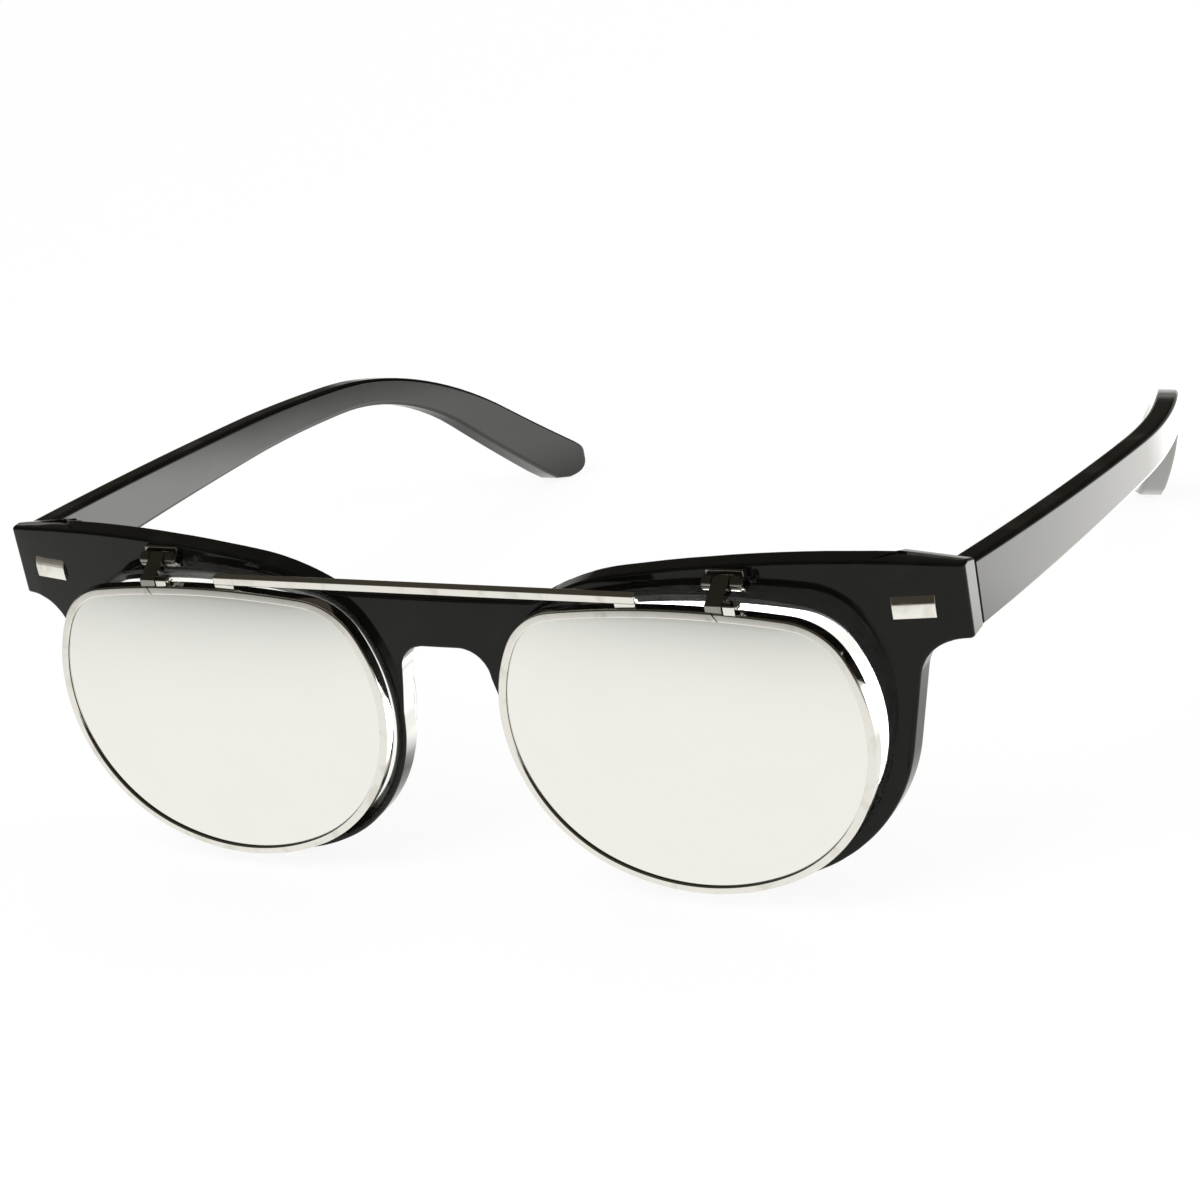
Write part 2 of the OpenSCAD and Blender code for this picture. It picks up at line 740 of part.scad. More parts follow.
// Room round the knuckles: in the front, and in the bracket behind the tab
front_room = 0.3;
tab_room = 0.15;
outer_knuckle_w = (bracket_w - tab_w)/2 - knuckle_gap;
module bracket_plate(gap) {
    translate([flip_hinge_x - bracket_w/2 - gap, bracket_face_y, flip_axis_z - bracket_foot - gap]) {
        cube([bracket_w + 2*gap, bracket_back_y - bracket_face_y + gap,
            bracket_top + bracket_foot + 2*gap]);
    }
    for (x = [-bracket_w/4, bracket_w/4]) {
        translate([flip_hinge_x + x, bracket_back_y - eps, flip_axis_z + bracket_leg_up])
            rotate([-90, 0, 0]) {
                cylinder(bracket_leg_l + gap, bracket_leg_r + gap, bracket_leg_r + gap, $fn = 32);
            }
    }
}
module bracket_pocket() {
    bracket_plate(seat_gap);
    // Room for the knuckles to turn before the bevel
    translate([flip_hinge_x, flip_axis_y, flip_axis_z]) rotate([0, 90, 0]) {
        cylinder(bracket_w + 2*front_room, flip_knuckle_r + front_room,
            flip_knuckle_r + front_room, center = true);
    }
}
module flip_bracket(side) {
    color(chrome) stood() difference() {
        union() {
            on_side(side) bracket_plate(0);
            at_flip_axis(side) for (out = [-1, 1]) {
                translate([out*(bracket_w - outer_knuckle_w)/2, 0, 0]) rotate([0, 90, 0]) {
                    cylinder(outer_knuckle_w, flip_knuckle_r, flip_knuckle_r, center = true,
                        $fn = 48);
                }
            }
        }
        at_flip_axis(side) {
            flip_bore();
            rotate([0, 90, 0]) cylinder(tab_w + 2*knuckle_gap, flip_knuckle_r + tab_room,
                flip_knuckle_r + tab_room, center = true, $fn = 48);
        }
    }
}

flip_head_r = 0.85;
flip_head_h = 0.4;
module flip_screw(side) {
    color(chrome) stood() at_flip_axis(side) rotate([0, 90, 0]) difference() {
        union() {
            translate([0, 0, -bracket_w/2]) {
                cylinder(bracket_w + eps, flip_screw_r, flip_screw_r, $fn = 48);
            }
            translate([0, 0, bracket_w/2]) {
                cylinder(flip_head_h, flip_head_r, flip_head_r - 0.15, $fn = 48);
            }
        }
        translate([0, 0, bracket_w/2 + flip_head_h]) cube([0.25, 2, 0.4], center = true);
    }
}

bar_up = 0.35;
bar_z = flip_top_z + bar_up;
bar_y = flip_y(bar_l/2, flip_top_z);
bar_foot_l = 3.2;
module brow_bar() {
    color(chrome) stood() {
        translate([-bar_l/2, bar_y - bar_s/2, bar_z]) cube([bar_l, bar_s, bar_s]);
        for (side = [right, left]) on_side(side) difference() {
            translate([bar_l/2 - bar_foot_l, bar_y - bar_s/2, bar_z - 0.8]) {
                cube([bar_foot_l, bar_s, 0.8 + eps]);
            }
            from_front(-flip_stand - 3, flip_back_y) flip_area(wire_w);
        }
    }
}

module stood() {
    front_y = -flip_stand - mirror_t/2;
    translate([0, -(front_y + end_y + temple_len)/2, 0]) children();
}

front_frame();
clear_lens(right);  // right_clear_lens
clear_lens(left);  // left_clear_lens
plaque(right);  // right_plaque
plaque(left);  // left_plaque
front_hinge(right);  // right_front_hinge
front_hinge(left);  // left_front_hinge
temple_hinge(right);  // right_temple_hinge
temple_hinge(left);  // left_temple_hinge
hinge_screw(right);  // right_hinge_screw
hinge_screw(left);  // left_hinge_screw
temple(right);  // right_temple
temple(left);  // left_temple
flip_bracket(right);  // right_flip_bracket
flip_bracket(left);  // left_flip_bracket
flip_screw(right);  // right_flip_screw
flip_screw(left);  // left_flip_screw
flip_tab(right);  // right_flip_tab
flip_tab(left);  // left_flip_tab
rim_screw(right);  // right_rim_screw
rim_screw(left);  // left_rim_screw
flip_rim(right);  // right_flip_rim
flip_rim(left);  // left_flip_rim
mirror_lens(right);  // right_mirror_lens
mirror_lens(left);  // left_mirror_lens
brow_bar();
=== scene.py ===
# %% [markdown]
# # Flip up sunglasses
#
# The real object is two pairs of glasses in one: a moulded black front with clear lenses
# and two side arms, and before it a light metal frame with mirror lenses that swings up on
# two small hinges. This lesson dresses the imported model, piece by piece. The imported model
# is the frame: it says where everything is, and nothing here moves it.

# %% Load the frame
import json
import math

import bpy
from mathutils import Matrix, Vector

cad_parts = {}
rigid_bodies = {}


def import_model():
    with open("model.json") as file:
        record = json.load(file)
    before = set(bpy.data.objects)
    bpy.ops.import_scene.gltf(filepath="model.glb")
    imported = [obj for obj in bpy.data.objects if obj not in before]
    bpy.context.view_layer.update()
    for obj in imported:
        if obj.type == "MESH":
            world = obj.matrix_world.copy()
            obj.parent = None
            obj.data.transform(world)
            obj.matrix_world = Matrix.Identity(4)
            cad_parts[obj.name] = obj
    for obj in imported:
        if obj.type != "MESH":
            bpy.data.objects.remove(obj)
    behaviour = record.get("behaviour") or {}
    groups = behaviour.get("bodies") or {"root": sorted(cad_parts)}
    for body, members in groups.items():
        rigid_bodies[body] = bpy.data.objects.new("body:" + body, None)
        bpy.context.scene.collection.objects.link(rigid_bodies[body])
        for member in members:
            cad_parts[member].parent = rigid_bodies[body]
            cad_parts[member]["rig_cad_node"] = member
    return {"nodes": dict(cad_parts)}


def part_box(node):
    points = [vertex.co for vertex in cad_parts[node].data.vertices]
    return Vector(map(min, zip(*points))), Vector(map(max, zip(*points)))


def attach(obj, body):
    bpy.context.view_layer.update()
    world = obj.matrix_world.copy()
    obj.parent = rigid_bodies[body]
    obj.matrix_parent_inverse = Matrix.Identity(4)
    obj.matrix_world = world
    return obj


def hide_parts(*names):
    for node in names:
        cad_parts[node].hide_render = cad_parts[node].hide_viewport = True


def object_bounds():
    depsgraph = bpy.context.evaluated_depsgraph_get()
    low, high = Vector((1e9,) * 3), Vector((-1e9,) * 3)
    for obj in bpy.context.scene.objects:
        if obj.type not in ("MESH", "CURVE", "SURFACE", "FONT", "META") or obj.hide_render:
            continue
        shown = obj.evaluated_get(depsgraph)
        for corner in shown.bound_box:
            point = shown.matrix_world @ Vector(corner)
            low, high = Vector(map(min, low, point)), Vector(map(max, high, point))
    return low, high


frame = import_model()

MM = 0.001
RIGHT, LEFT = -1, 1
nodes = frame["nodes"]
cad_box = [list(corner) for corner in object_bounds()]
print("CAD box in mm:", [[round(value / MM, 2) for value in corner] for corner in cad_box])

# %% [markdown]
# ## The camera
#
# The photograph was taken from a little above and to the wearer's left, with the camera
# tipped a few degrees, so the glasses climb across the picture. The camera is placed by
# those angles and by its distance from a point between the lenses. Its three axes are
# worked out one by one because the tip would be lost in a plain "look at" rotation.

# %% Camera
CAMERA_TURN = math.radians(30.353)
CAMERA_RISE = math.radians(23.93)
CAMERA_TIP = math.radians(-10.699)
CAMERA_DISTANCE = 0.44196
CAMERA_TARGET = Vector((0.02835, -0.068652, 0.0453))
CAMERA_LENS = 103.0

back = Vector((math.sin(CAMERA_TURN) * math.cos(CAMERA_RISE),
               -math.cos(CAMERA_TURN) * math.cos(CAMERA_RISE),
               math.sin(CAMERA_RISE)))
level = Vector((math.cos(CAMERA_TURN), math.sin(CAMERA_TURN), 0))
upright = back.cross(level)
across = math.cos(CAMERA_TIP) * level + math.sin(CAMERA_TIP) * upright
upwards = -math.sin(CAMERA_TIP) * level + math.cos(CAMERA_TIP) * upright

bpy.ops.object.camera_add()
camera = bpy.context.object
camera.name = "camera"
camera.data.lens = CAMERA_LENS
camera.data.sensor_width = 36
camera.data.clip_start = 0.01
placing = Matrix((across, upwards, back)).transposed().to_4x4()
placing.translation = CAMERA_TARGET + back * CAMERA_DISTANCE
camera.matrix_world = placing
bpy.context.scene.camera = camera
bpy.context.scene.view_settings.view_transform = "Standard"
print("camera at", [round(value, 3) for value in camera.location])

# %% [markdown]
# ## Working in millimetres
#
# Spectacle parts are fractions of a millimetre thick. Blender's modelling tools merge and
# round at distances that suit metres, so every piece is modelled in millimetres and made
# small only when it is handed over to the body that it rides on. The helpers below are the
# few moves that all pieces share: choose one piece, run a modifier for good, cut one piece
# with another, and hand it over.

# %% Helpers for modelling
def only(piece):
    """Selects one piece and nothing else."""
    bpy.ops.object.select_all(action="DESELECT")
    piece.select_set(True)
    bpy.context.view_layer.objects.active = piece


def settle(piece):
    """Puts a piece's place, turn and size into its mesh."""
    only(piece)
    bpy.ops.object.transform_apply(location=True, rotation=True, scale=True)


def edit_all(piece, *moves):
    """Runs edit mode moves on the whole mesh."""
    only(piece)
    bpy.ops.object.mode_set(mode="EDIT")
    for move in moves:
        bpy.ops.mesh.select_all(action="SELECT")
        move()
    bpy.ops.object.mode_set(mode="OBJECT")


def face_outwards(piece):
    edit_all(piece, lambda: bpy.ops.mesh.normals_make_consistent(inside=False))


def modify(piece, kind, **settings):
    """Adds a modifier, sets it and applies it."""
    modifier = piece.modifiers.new(kind.lower(), kind)
    for setting, value in settings.items():
        setattr(modifier, setting, value)
    only(piece)
    bpy.ops.object.modifier_apply(modifier=modifier.name)


def cut(piece, tool, operation="DIFFERENCE"):
    """Cuts a piece with a tool, or joins or trims it, and throws the tool away."""
    modify(piece, "BOOLEAN", object=tool, operation=operation, solver="EXACT")
    bpy.data.objects.remove(tool)


def round_edges(piece, width, segments=3, angle=32):
    """Rounds every edge that is sharper than the angle."""
    modify(piece, "BEVEL", width=width, segments=segments, limit_method="ANGLE",
           angle_limit=math.radians(angle), use_clamp_overlap=False)


def smooth(piece, angle=42):
    """Smooth shading in which the broad faces keep their own direction."""
    only(piece)
    bpy.ops.object.shade_smooth_by_angle(angle=math.radians(angle))
    modify(piece, "WEIGHTED_NORMAL", keep_sharp=True, weight=60)


# %% [markdown]
# A piece is finished when it has its material, rides on its body, and hides the CAD nodes that
# it stands for. The helper measures how far the piece's box is from the box of its CAD node,
# so a slip shows in the printed lines.

# %% Hand a piece over
def hand_over(piece, name, body, slot, material, *replaced):
    piece.name = name
    piece.data.name = name
    piece.scale = (MM, MM, MM)
    settle(piece)
    piece.data.materials.clear()
    piece.data.materials.append(material)
    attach(piece, body)
    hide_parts(*replaced)
    corners = [Vector(corner) for corner in piece.bound_box]
    low = Vector([min(corner[axis] for corner in corners) for axis in range(3)])
    high = Vector([max(corner[axis] for corner in corners) for axis in range(3)])
    node_low, node_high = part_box(replaced[0])
    gap = max(max(abs(a - b) for a, b in zip(low, node_low)),
              max(abs(a - b) for a, b in zip(high, node_high)))
    print(f"{name}: {len(piece.data.polygons)} faces, box within {gap / MM:.2f} mm of the CAD")
    return piece


def beside(side, piece):
    """Mirrors a piece to the wearer's right where that side is asked for."""
    if side == RIGHT:
        piece.scale = (-1, 1, 1)
        settle(piece)
        face_outwards(piece)
    return piece


def joined(first, *others):
    """Joins pieces into the first one."""
    only(first)
    for other in others:
        other.select_set(True)
    bpy.ops.object.join()
    return first


# %% [markdown]
# ## Sizes
#
# The sizes are those of the construction, in millimetres. Depth is measured from the middle
# of the front's face and is shifted, as the whole model is, so that the origin lies under
# the middle of the standing glasses.

# %% Sizes
LENS_W, LENS_H = 51.6, 39.1
LENS_BOTTOM_R, LENS_SIDE_R, LENS_CORNER_R, LENS_CROWN = 32.0, 22.0, 9.0, 1.25
BRIDGE_W, END_REACH, FRONT_T, FACE_R = 19.8, 12.5, 3.6, 340.0
RIM_BOTTOM_W, RIM_NOSE_W, RIM_SIDE_W = 2.6, 1.8, 3.4
BROW_H, BROW_R, BROW_FALL_R, BRIDGE_FILLET_R = 6.3, 180.0, 32.0, 4.0
BRIDGE_DROP, BRIDGE_H, ARCH_R, ARCH_STEP = 5.8, 7.4, 4.2, 1.2
END_H, END_DEPTH, NOTCH_R = 12.1, 3.9, 6.0
BEVEL_W, BEVEL_D = 2.1, 1.5
TEMPLE_T, TEMPLE_H, TEMPLE_LEN = 3.5, 9.5, 122.0
FLIP_STAND, FLIP_RISE, WIRE_W, WIRE_D = 4.1, 0.8, 1.2, 2.0
MIRROR_R, MIRROR_T = 143.0, 1.2
CLEAR_R, CLEAR_T = 250.0, 1.2

lens_x = BRIDGE_W / 2 + LENS_W / 2
lens_z = RIM_BOTTOM_W + LENS_H / 2
end_x = BRIDGE_W / 2 + LENS_W + END_REACH
crest_z = RIM_BOTTOM_W + LENS_H + BROW_H
bridge_z = crest_z - BRIDGE_DROP
arch_z = bridge_z - BRIDGE_H
end_z = crest_z - END_H


def face_y(x):
    """Depth of the face's sideways curve."""
    return FACE_R - math.sqrt(FACE_R * FACE_R - x * x)


end_y = face_y(end_x) + END_DEPTH
stand_shift = -(-FLIP_STAND - MIRROR_T / 2 + end_y + TEMPLE_LEN) / 2
print(f"lens centre {lens_x:.2f}, {lens_z:.2f}; end piece to x {end_x:.1f}; crest {crest_z:.1f}")

# %% [markdown]
# ## The lens outline
#
# All four lenses, both rims and both openings are one outline: six arcs that run into each
# other. Evenly spaced points along it, each with the direction in which it faces, are
# enough for all of them, because a wider ring is the same points moved outwards.

# %% Lens outline
def turned(x, z):
    return math.degrees(math.atan2(z, x))


def lens_arcs(width, height, grow=0.0):
    """Centre, radius, first and last angle of each arc, bottom first, anticlockwise."""
    bottom_r, side_r, corner_r = LENS_BOTTOM_R + grow, LENS_SIDE_R + grow, LENS_CORNER_R + grow
    side_x = width / 2 - side_r
    bottom_z = -height / 2 + bottom_r
    side_z = bottom_z - math.sqrt((bottom_r - side_r) ** 2 - side_x ** 2)
    corner_z = height / 2 - LENS_CROWN - corner_r
    up = math.degrees(math.asin((corner_z - side_z) / (side_r - corner_r)))
    corner_x = side_x + (side_r - corner_r) * math.cos(math.radians(up))
    top_r = (corner_x ** 2 + LENS_CROWN ** 2) / (2 * LENS_CROWN) + corner_r
    down = turned(side_x, side_z - bottom_z)
    crown = turned(corner_x, corner_z - height / 2 + top_r)
    return [((0, bottom_z), bottom_r, -180 - down, down),
            ((side_x, side_z), side_r, down, up),
            ((corner_x, corner_z), corner_r, up, crown),
            ((0, height / 2 - top_r), top_r, crown, 180 - crown),
            ((-corner_x, corner_z), corner_r, 180 - crown, 180 - up),
            ((-side_x, side_z), side_r, 180 - up, 180 - down)]


def on_arc(centre, radius, angle):
    angle = math.radians(angle)
    return centre[0] + radius * math.cos(angle), centre[1] + radius * math.sin(angle)


def even_ring(arcs, count):
    """Evenly spaced points of a ring of arcs, as (x, z, facing x, facing z)."""
    lengths = [radius * math.radians(last - first) for _, radius, first, last in arcs]
    ring, arc, passed = [], 0, 0.0
    for step in range(count):
        along = sum(lengths) * step / count
        while along - passed > lengths[arc]:
            passed += lengths[arc]
            arc += 1
        centre, radius, first, last = arcs[arc]
        angle = first + (last - first) * (along - passed) / lengths[arc]
        facing = on_arc((0, 0), 1, angle)
        ring.append((*on_arc(centre, radius, angle), *facing))
    return ring


RING_COUNT = 240
lens_ring = even_ring(lens_arcs(LENS_W, LENS_H), RING_COUNT)


def ring_at(grow, ring=lens_ring):
    """The ring's points moved outwards."""
    return [(x + grow * out_x, z + grow * out_z) for x, z, out_x, out_z in ring]


print("lens ring:", RING_COUNT, "points, from",
      [round(value, 2) for value in lens_ring[0][:2]])

# %% [markdown]
# ## Solids from drawings
#
# A maker cuts a spectacle front out of a plate: first along the drawing seen from the
# front, then along the drawing seen from above. The same is done here. A cylinder gets as
# many sides as the drawing has points, is bisected into as many levels as needed, and each
# of its vertices is pulled to its point. Two such blanks, trimmed to what they share, give
# the real shape with its true curves from every side.

# %% Blanks
def lofted(name, rings):
    """A closed solid through rings of points that all have the same number of points."""
    count, levels = len(rings[0]), len(rings) - 1
    bpy.ops.object.select_all(action="DESELECT")
    bpy.ops.mesh.primitive_cylinder_add(vertices=count, radius=1, depth=levels,
                                        location=(0, 0, levels / 2))
    piece = bpy.context.object
    piece.name = name
    settle(piece)
    edit_all(piece, *[
        lambda height=height: bpy.ops.mesh.bisect(plane_co=(0, 0, height), plane_no=(0, 0, 1))
        for height in range(1, levels)])
    for vertex in piece.data.vertices:
        station = round(math.atan2(vertex.co.y, vertex.co.x) / math.tau * count) % count
        vertex.co = rings[round(vertex.co.z)][station]
    face_outwards(piece)
    return piece


def from_front(name, points, near, far):
    """A blank cut along a drawing in x and z."""
    return lofted(name, [[(x, depth, z) for x, z in points] for depth in (near, far)])


def from_above(name, points, low, high):
    """A blank cut along a drawing in x and y."""
    return lofted(name, [[(x, y, height) for x, y in points] for height in (low, high)])


def from_side(name, points, inner, outer):
    """A blank cut along a drawing in y and z."""
    return lofted(name, [[(x, y, z) for y, z in points] for x in (inner, outer)])


def arc(centre, radius, first, last, step=2.0):
    """Points along an arc, from its first angle to just before its last."""
    count = max(2, math.ceil(abs(last - first) / step))
    return [on_arc(centre, radius, first + (last - first) * place / count)
            for place in range(count)]


def with_mirror(half):
    """A drawing's right half, whose first point is on the middle line, and its mirror."""
    return half + [(-x, other) for x, other in reversed(half[1:])]


def stood(piece):
    """Moves a piece from the front's own depth to the standing glasses."""
    piece.location = (0, stand_shift, 0)
    settle(piece)
    return piece


print("blanks are cut from drawings in x and z, x and y, or y and z")

# %% [markdown]
# ## Finishes: what they share
#
# Every real surface here is polished, and what tells polished things apart from computer
# ones is how the polish fails: finger grease that dulls it in soft patches, and hairline
# scratches from a pocket. Both are node groups, so each finish takes them at its own
# strength. The groups read Object coordinates, which stay with the piece.

# %% Shared node groups
def new_group(name, inputs, outputs):
    group = bpy.data.node_groups.new(name, "ShaderNodeTree")
    for label, value in inputs:
        socket = group.interface.new_socket(name=label, in_out="INPUT",
                                            socket_type="NodeSocketFloat")
        socket.default_value = value
    for label in outputs:
        group.interface.new_socket(name=label, in_out="OUTPUT", socket_type="NodeSocketFloat")
    start = group.nodes.new("NodeGroupInput")
    end = group.nodes.new("NodeGroupOutput")
    return group, start, end


def node(tree, kind, **settings):
    made = tree.nodes.new("ShaderNode" + kind)
    for setting, value in settings.items():
        setattr(made, setting, value)
    return made


def shaped(tree, value, low, high, to_low=0.0, to_high=1.0):
    """Spreads a value between two limits over a new range, with soft ends."""
    spread = node(tree, "MapRange", interpolation_type="SMOOTHSTEP")
    tree.links.new(value, spread.inputs["Value"])
    for label, number in (("From Min", low), ("From Max", high),
                          ("To Min", to_low), ("To Max", to_high)):
        spread.inputs[label].default_value = number
    return spread.outputs["Result"]


def calculated(tree, operation, first, second):
    """A Math node on two values, of which the second may be a plain number."""
    made = node(tree, "Math", operation=operation)
    tree.links.new(first, made.inputs[0])
    if isinstance(second, float):
        made.inputs[1].default_value = second
    else:
        tree.links.new(second, made.inputs[1])
    return made.outputs["Value"]


def grease_group():
    """Soft patches where a finger has been, 0 on clean polish and 1 in the middle."""
    group, start, end = new_group("finger_grease", [("Patches per metre", 90.0)], ["Grease"])
    place = node(group, "TexCoord")
    broad = node(group, "TexNoise")
    broad.inputs["Detail"].default_value = 3
    broad.inputs["Distortion"].default_value = 0.6
    group.links.new(place.outputs["Object"], broad.inputs["Vector"])
    group.links.new(start.outputs["Patches per metre"], broad.inputs["Scale"])
    group.links.new(shaped(group, broad.outputs["Fac"], 0.48, 0.7), end.inputs["Grease"])
    return group


def scratch_group():
    """Hairline scratches in two directions, 1 on a scratch and 0 beside it."""
    group, start, end = new_group("hairlines", [("Lines per metre", 260.0)], ["Scratch"])
    place = node(group, "TexCoord")
    lines = []
    for turn, stretch in (((0.4, 0.2, 0.5), (1, 22, 22)), ((1.2, -0.5, 0.9), (18, 1, 18))):
        mapping = node(group, "Mapping")
        mapping.inputs["Rotation"].default_value = turn
        mapping.inputs["Scale"].default_value = stretch
        hair = node(group, "TexNoise")
        hair.inputs["Detail"].default_value = 1
        group.links.new(place.outputs["Object"], mapping.inputs["Vector"])
        group.links.new(mapping.outputs["Vector"], hair.inputs["Vector"])
        group.links.new(start.outputs["Lines per metre"], hair.inputs["Scale"])
        lines.append(shaped(group, hair.outputs["Fac"], 0.7, 0.74))
    group.links.new(calculated(group, "MAXIMUM", *lines), end.inputs["Scratch"])
    return group


def ripple_group():
    """The slow wave of a moulded or hand polished face, as a height."""
    group, start, end = new_group("polish_ripple", [("Waves per metre", 120.0)], ["Height"])
    place = node(group, "TexCoord")
    wave = node(group, "TexNoise")
    wave.inputs["Detail"].default_value = 2
    group.links.new(place.outputs["Object"], wave.inputs["Vector"])
    group.links.new(start.outputs["Waves per metre"], wave.inputs["Scale"])
    group.links.new(wave.outputs["Fac"], end.inputs["Height"])
    return group


finger_grease, hairlines, polish_ripple = grease_group(), scratch_group(), ripple_group()
print("groups:", finger_grease.name, hairlines.name, polish_ripple.name)

# %% [markdown]
# A finish then says its own colour and polish, and how much grease, scratching and ripple
# it shows. Grease and scratches raise the roughness and lift or dull the colour a little,
# and the ripple goes to a Bump node. Values that are the same all over are set on the
# shader itself.

# %% A polished finish
def polished(name, colour, greased, roughness, dulled, ripple, waves=120.0, patches=90.0,
             lines=260.0, **shader_values):
    """A finish with its clean and greased colours and its clean and dulled roughness."""
    material = bpy.data.materials.new(name)
    material.use_nodes = True
    tree = material.node_tree
    shader = tree.nodes["Principled BSDF"]
    for label, value in shader_values.items():
        shader.inputs[label.replace("_", " ")].default_value = value

    grease = node(tree, "Group", node_tree=finger_grease)
    grease.inputs["Patches per metre"].default_value = patches
    scratch = node(tree, "Group", node_tree=hairlines)
    scratch.inputs["Lines per metre"].default_value = lines
    worn = calculated(tree, "MAXIMUM", grease.outputs["Grease"], scratch.outputs["Scratch"])

    tint = node(tree, "Mix", data_type="RGBA")
    tint.inputs["A"].default_value = (*colour, 1)
    tint.inputs["B"].default_value = (*greased, 1)
    tree.links.new(worn, tint.inputs["Factor"])
    tree.links.new(tint.outputs["Result"], shader.inputs["Base Color"])
    rough = shaped(tree, worn, 0, 1, roughness, dulled)
    tree.links.new(rough, shader.inputs["Roughness"])

    wave = node(tree, "Group", node_tree=polish_ripple)
    wave.inputs["Waves per metre"].default_value = waves
    bump = node(tree, "Bump")
    bump.inputs["Strength"].default_value = 1
    bump.inputs["Distance"].default_value = ripple * MM
    tree.links.new(wave.outputs["Height"], bump.inputs["Height"])
    tree.links.new(bump.outputs["Normal"], shader.inputs["Normal"])
    return material


# %% [markdown]
# ## The seven finishes
#
# The front and arms are tumbled black plastic, nearly black in itself: all that the eye sees
# is what it reflects. The mirror coat is a metal film on a lens, a little warm. The wire and
# rim screws are bright plated. The leaves, brackets and flip screws are the same plating with
# its colour darkened as painted shade, in place of the dark frame and room that they mirror.
# The plaques are plated and buffed, and the arm hinges are bare steel with the fine lines of a
# tumbling barrel.

# %% Finishes
black_plastic = polished("black_plastic", (0.003, 0.003, 0.0026), (0.006, 0.006, 0.005),
                         0.07, 0.13, 0.008, waves=150, IOR=1.3)
mirror_coat = polished("mirror_coat", (0.86, 0.865, 0.845), (0.85, 0.854, 0.832),
                       0.03, 0.045, 0.0008, waves=60, patches=60, lines=120, Metallic=1.0)
chrome_wire = polished("chrome_wire", (0.80, 0.785, 0.75), (0.70, 0.68, 0.63),
                       0.07, 0.2, 0.004, waves=400, patches=240, lines=600, Metallic=1.0)
# The same plating as the wire, its colour darkened as painted shade for the dark things it
# mirrors.
dark_chrome = polished("dark_chrome", (0.3, 0.29, 0.27), (0.22, 0.21, 0.195),
                       0.1, 0.26, 0.004, waves=500, patches=300, lines=700, Metallic=1.0)
bright_metal = polished("bright_metal", (0.86, 0.85, 0.80), (0.76, 0.74, 0.68),
                        0.06, 0.18, 0.006, waves=500, patches=300, lines=700, Metallic=1.0)
hinge_steel = polished("hinge_steel", (0.56, 0.56, 0.55), (0.42, 0.41, 0.39),
                       0.22, 0.42, 0.012, waves=900, patches=420, lines=900, Metallic=1.0)
clear_plastic = polished("clear_plastic", (0.985, 0.99, 0.99), (0.96, 0.965, 0.965),
                         0.0, 0.035, 0.0008, waves=50, patches=70, lines=120,
                         IOR=1.49, Transmission_Weight=1.0)
print("finishes:", [material.name for material in bpy.data.materials])

# %% [markdown]
# ## The front
#
# One moulding: brow, bridge, rims, end pieces and nose pads. Seen from the front, the brow
# is a long arc that falls to the bridge in a curve, the end piece is cut square, and a round
# notch under it leads into the side of the rim. Seen from above, the face is a shallow curve
# and the end pieces run back from it. The two drawings below give both. The construction cuts
# the brow's arc in a few straight runs, and the sag keeps the smooth one here under them.

# %% The front's drawings
BROW_IN, BROW_START, BROW_SAG = 23.0, 7.7, 0.18
END_STOCK = 3.0
brow_x = end_x - BROW_IN
brow_centre = (brow_x, crest_z - BROW_SAG - BROW_R)
fall_turn = math.degrees(math.asin((brow_x - lens_x + BROW_START) / BROW_R))
fall_centre = on_arc(brow_centre, BROW_R - BROW_FALL_R, 90 + fall_turn)
foot_turn = math.degrees(math.acos(
    (bridge_z + BRIDGE_FILLET_R - fall_centre[1]) / (BROW_FALL_R + BRIDGE_FILLET_R)))
fillet_centre = on_arc(fall_centre, BROW_FALL_R + BRIDGE_FILLET_R, 90 + foot_turn)

outer_w = LENS_W + RIM_NOSE_W + RIM_SIDE_W
outer_x = lens_x + (RIM_SIDE_W - RIM_NOSE_W) / 2
outer = [((centre[0] + outer_x, centre[1] + lens_z), radius, first, last)
         for centre, radius, first, last in
         lens_arcs(outer_w, LENS_H + 2 * RIM_BOTTOM_W, (RIM_NOSE_W + RIM_SIDE_W) / 2)]
SIDE_LEAN = 12
lean = math.radians(SIDE_LEAN)
bottom_arc, side_arc, nose_arc = outer[0], outer[1], outer[5]
side_foot = on_arc(side_arc[0], side_arc[1], -SIDE_LEAN)
notch_z = end_z - NOTCH_R
side_top_z = notch_z + NOTCH_R * math.sin(lean)
side_top = (side_foot[0] + (side_top_z - side_foot[1]) * math.tan(lean), side_top_z)
notch_centre = (side_top[0] + NOTCH_R * math.cos(lean), notch_z)
nose_x = outer_x - outer_w / 2
arch_x = nose_x - ARCH_STEP
brow_last = math.degrees(math.acos(BROW_IN / BROW_R))
brow_end = on_arc(brow_centre, BROW_R, brow_last)

front_drawing = with_mirror(
    [(0, bridge_z)]
    + arc(fillet_centre, BRIDGE_FILLET_R, -90, -90 + foot_turn, 6)
    + arc(fall_centre, BROW_FALL_R, 90 + foot_turn, 90 + fall_turn, 2)
    + arc(brow_centre, BROW_R, 90 + fall_turn, brow_last, 1)
    + [brow_end, (end_x + END_STOCK, brow_end[1]), (end_x + END_STOCK, end_z)]
    + arc(notch_centre, NOTCH_R, 90, 180 - SIDE_LEAN, 5)
    + [side_top]
    + arc(side_arc[0], side_arc[1], -SIDE_LEAN, side_arc[2], 2.5)
    + arc(bottom_arc[0], bottom_arc[1], bottom_arc[3], bottom_arc[2], 2)
    + arc(nose_arc[0], nose_arc[1], nose_arc[3] - 360, -180, 2.5)
    + [(nose_x, nose_arc[0][1])]
    + arc((arch_x - ARCH_R, arch_z - ARCH_R), ARCH_R, 0, 90, 6)
    + [(arch_x - ARCH_R, arch_z), (0, arch_z)])[:-1]
print("front drawing:", len(front_drawing), "points")


# %% [markdown]
# From above the wall is as thick as the plate everywhere, with a round corner where the face
# turns into the side of the end piece. The end pieces run further back than the wall, so what
# the plan leaves behind the rims below them is cleared away.

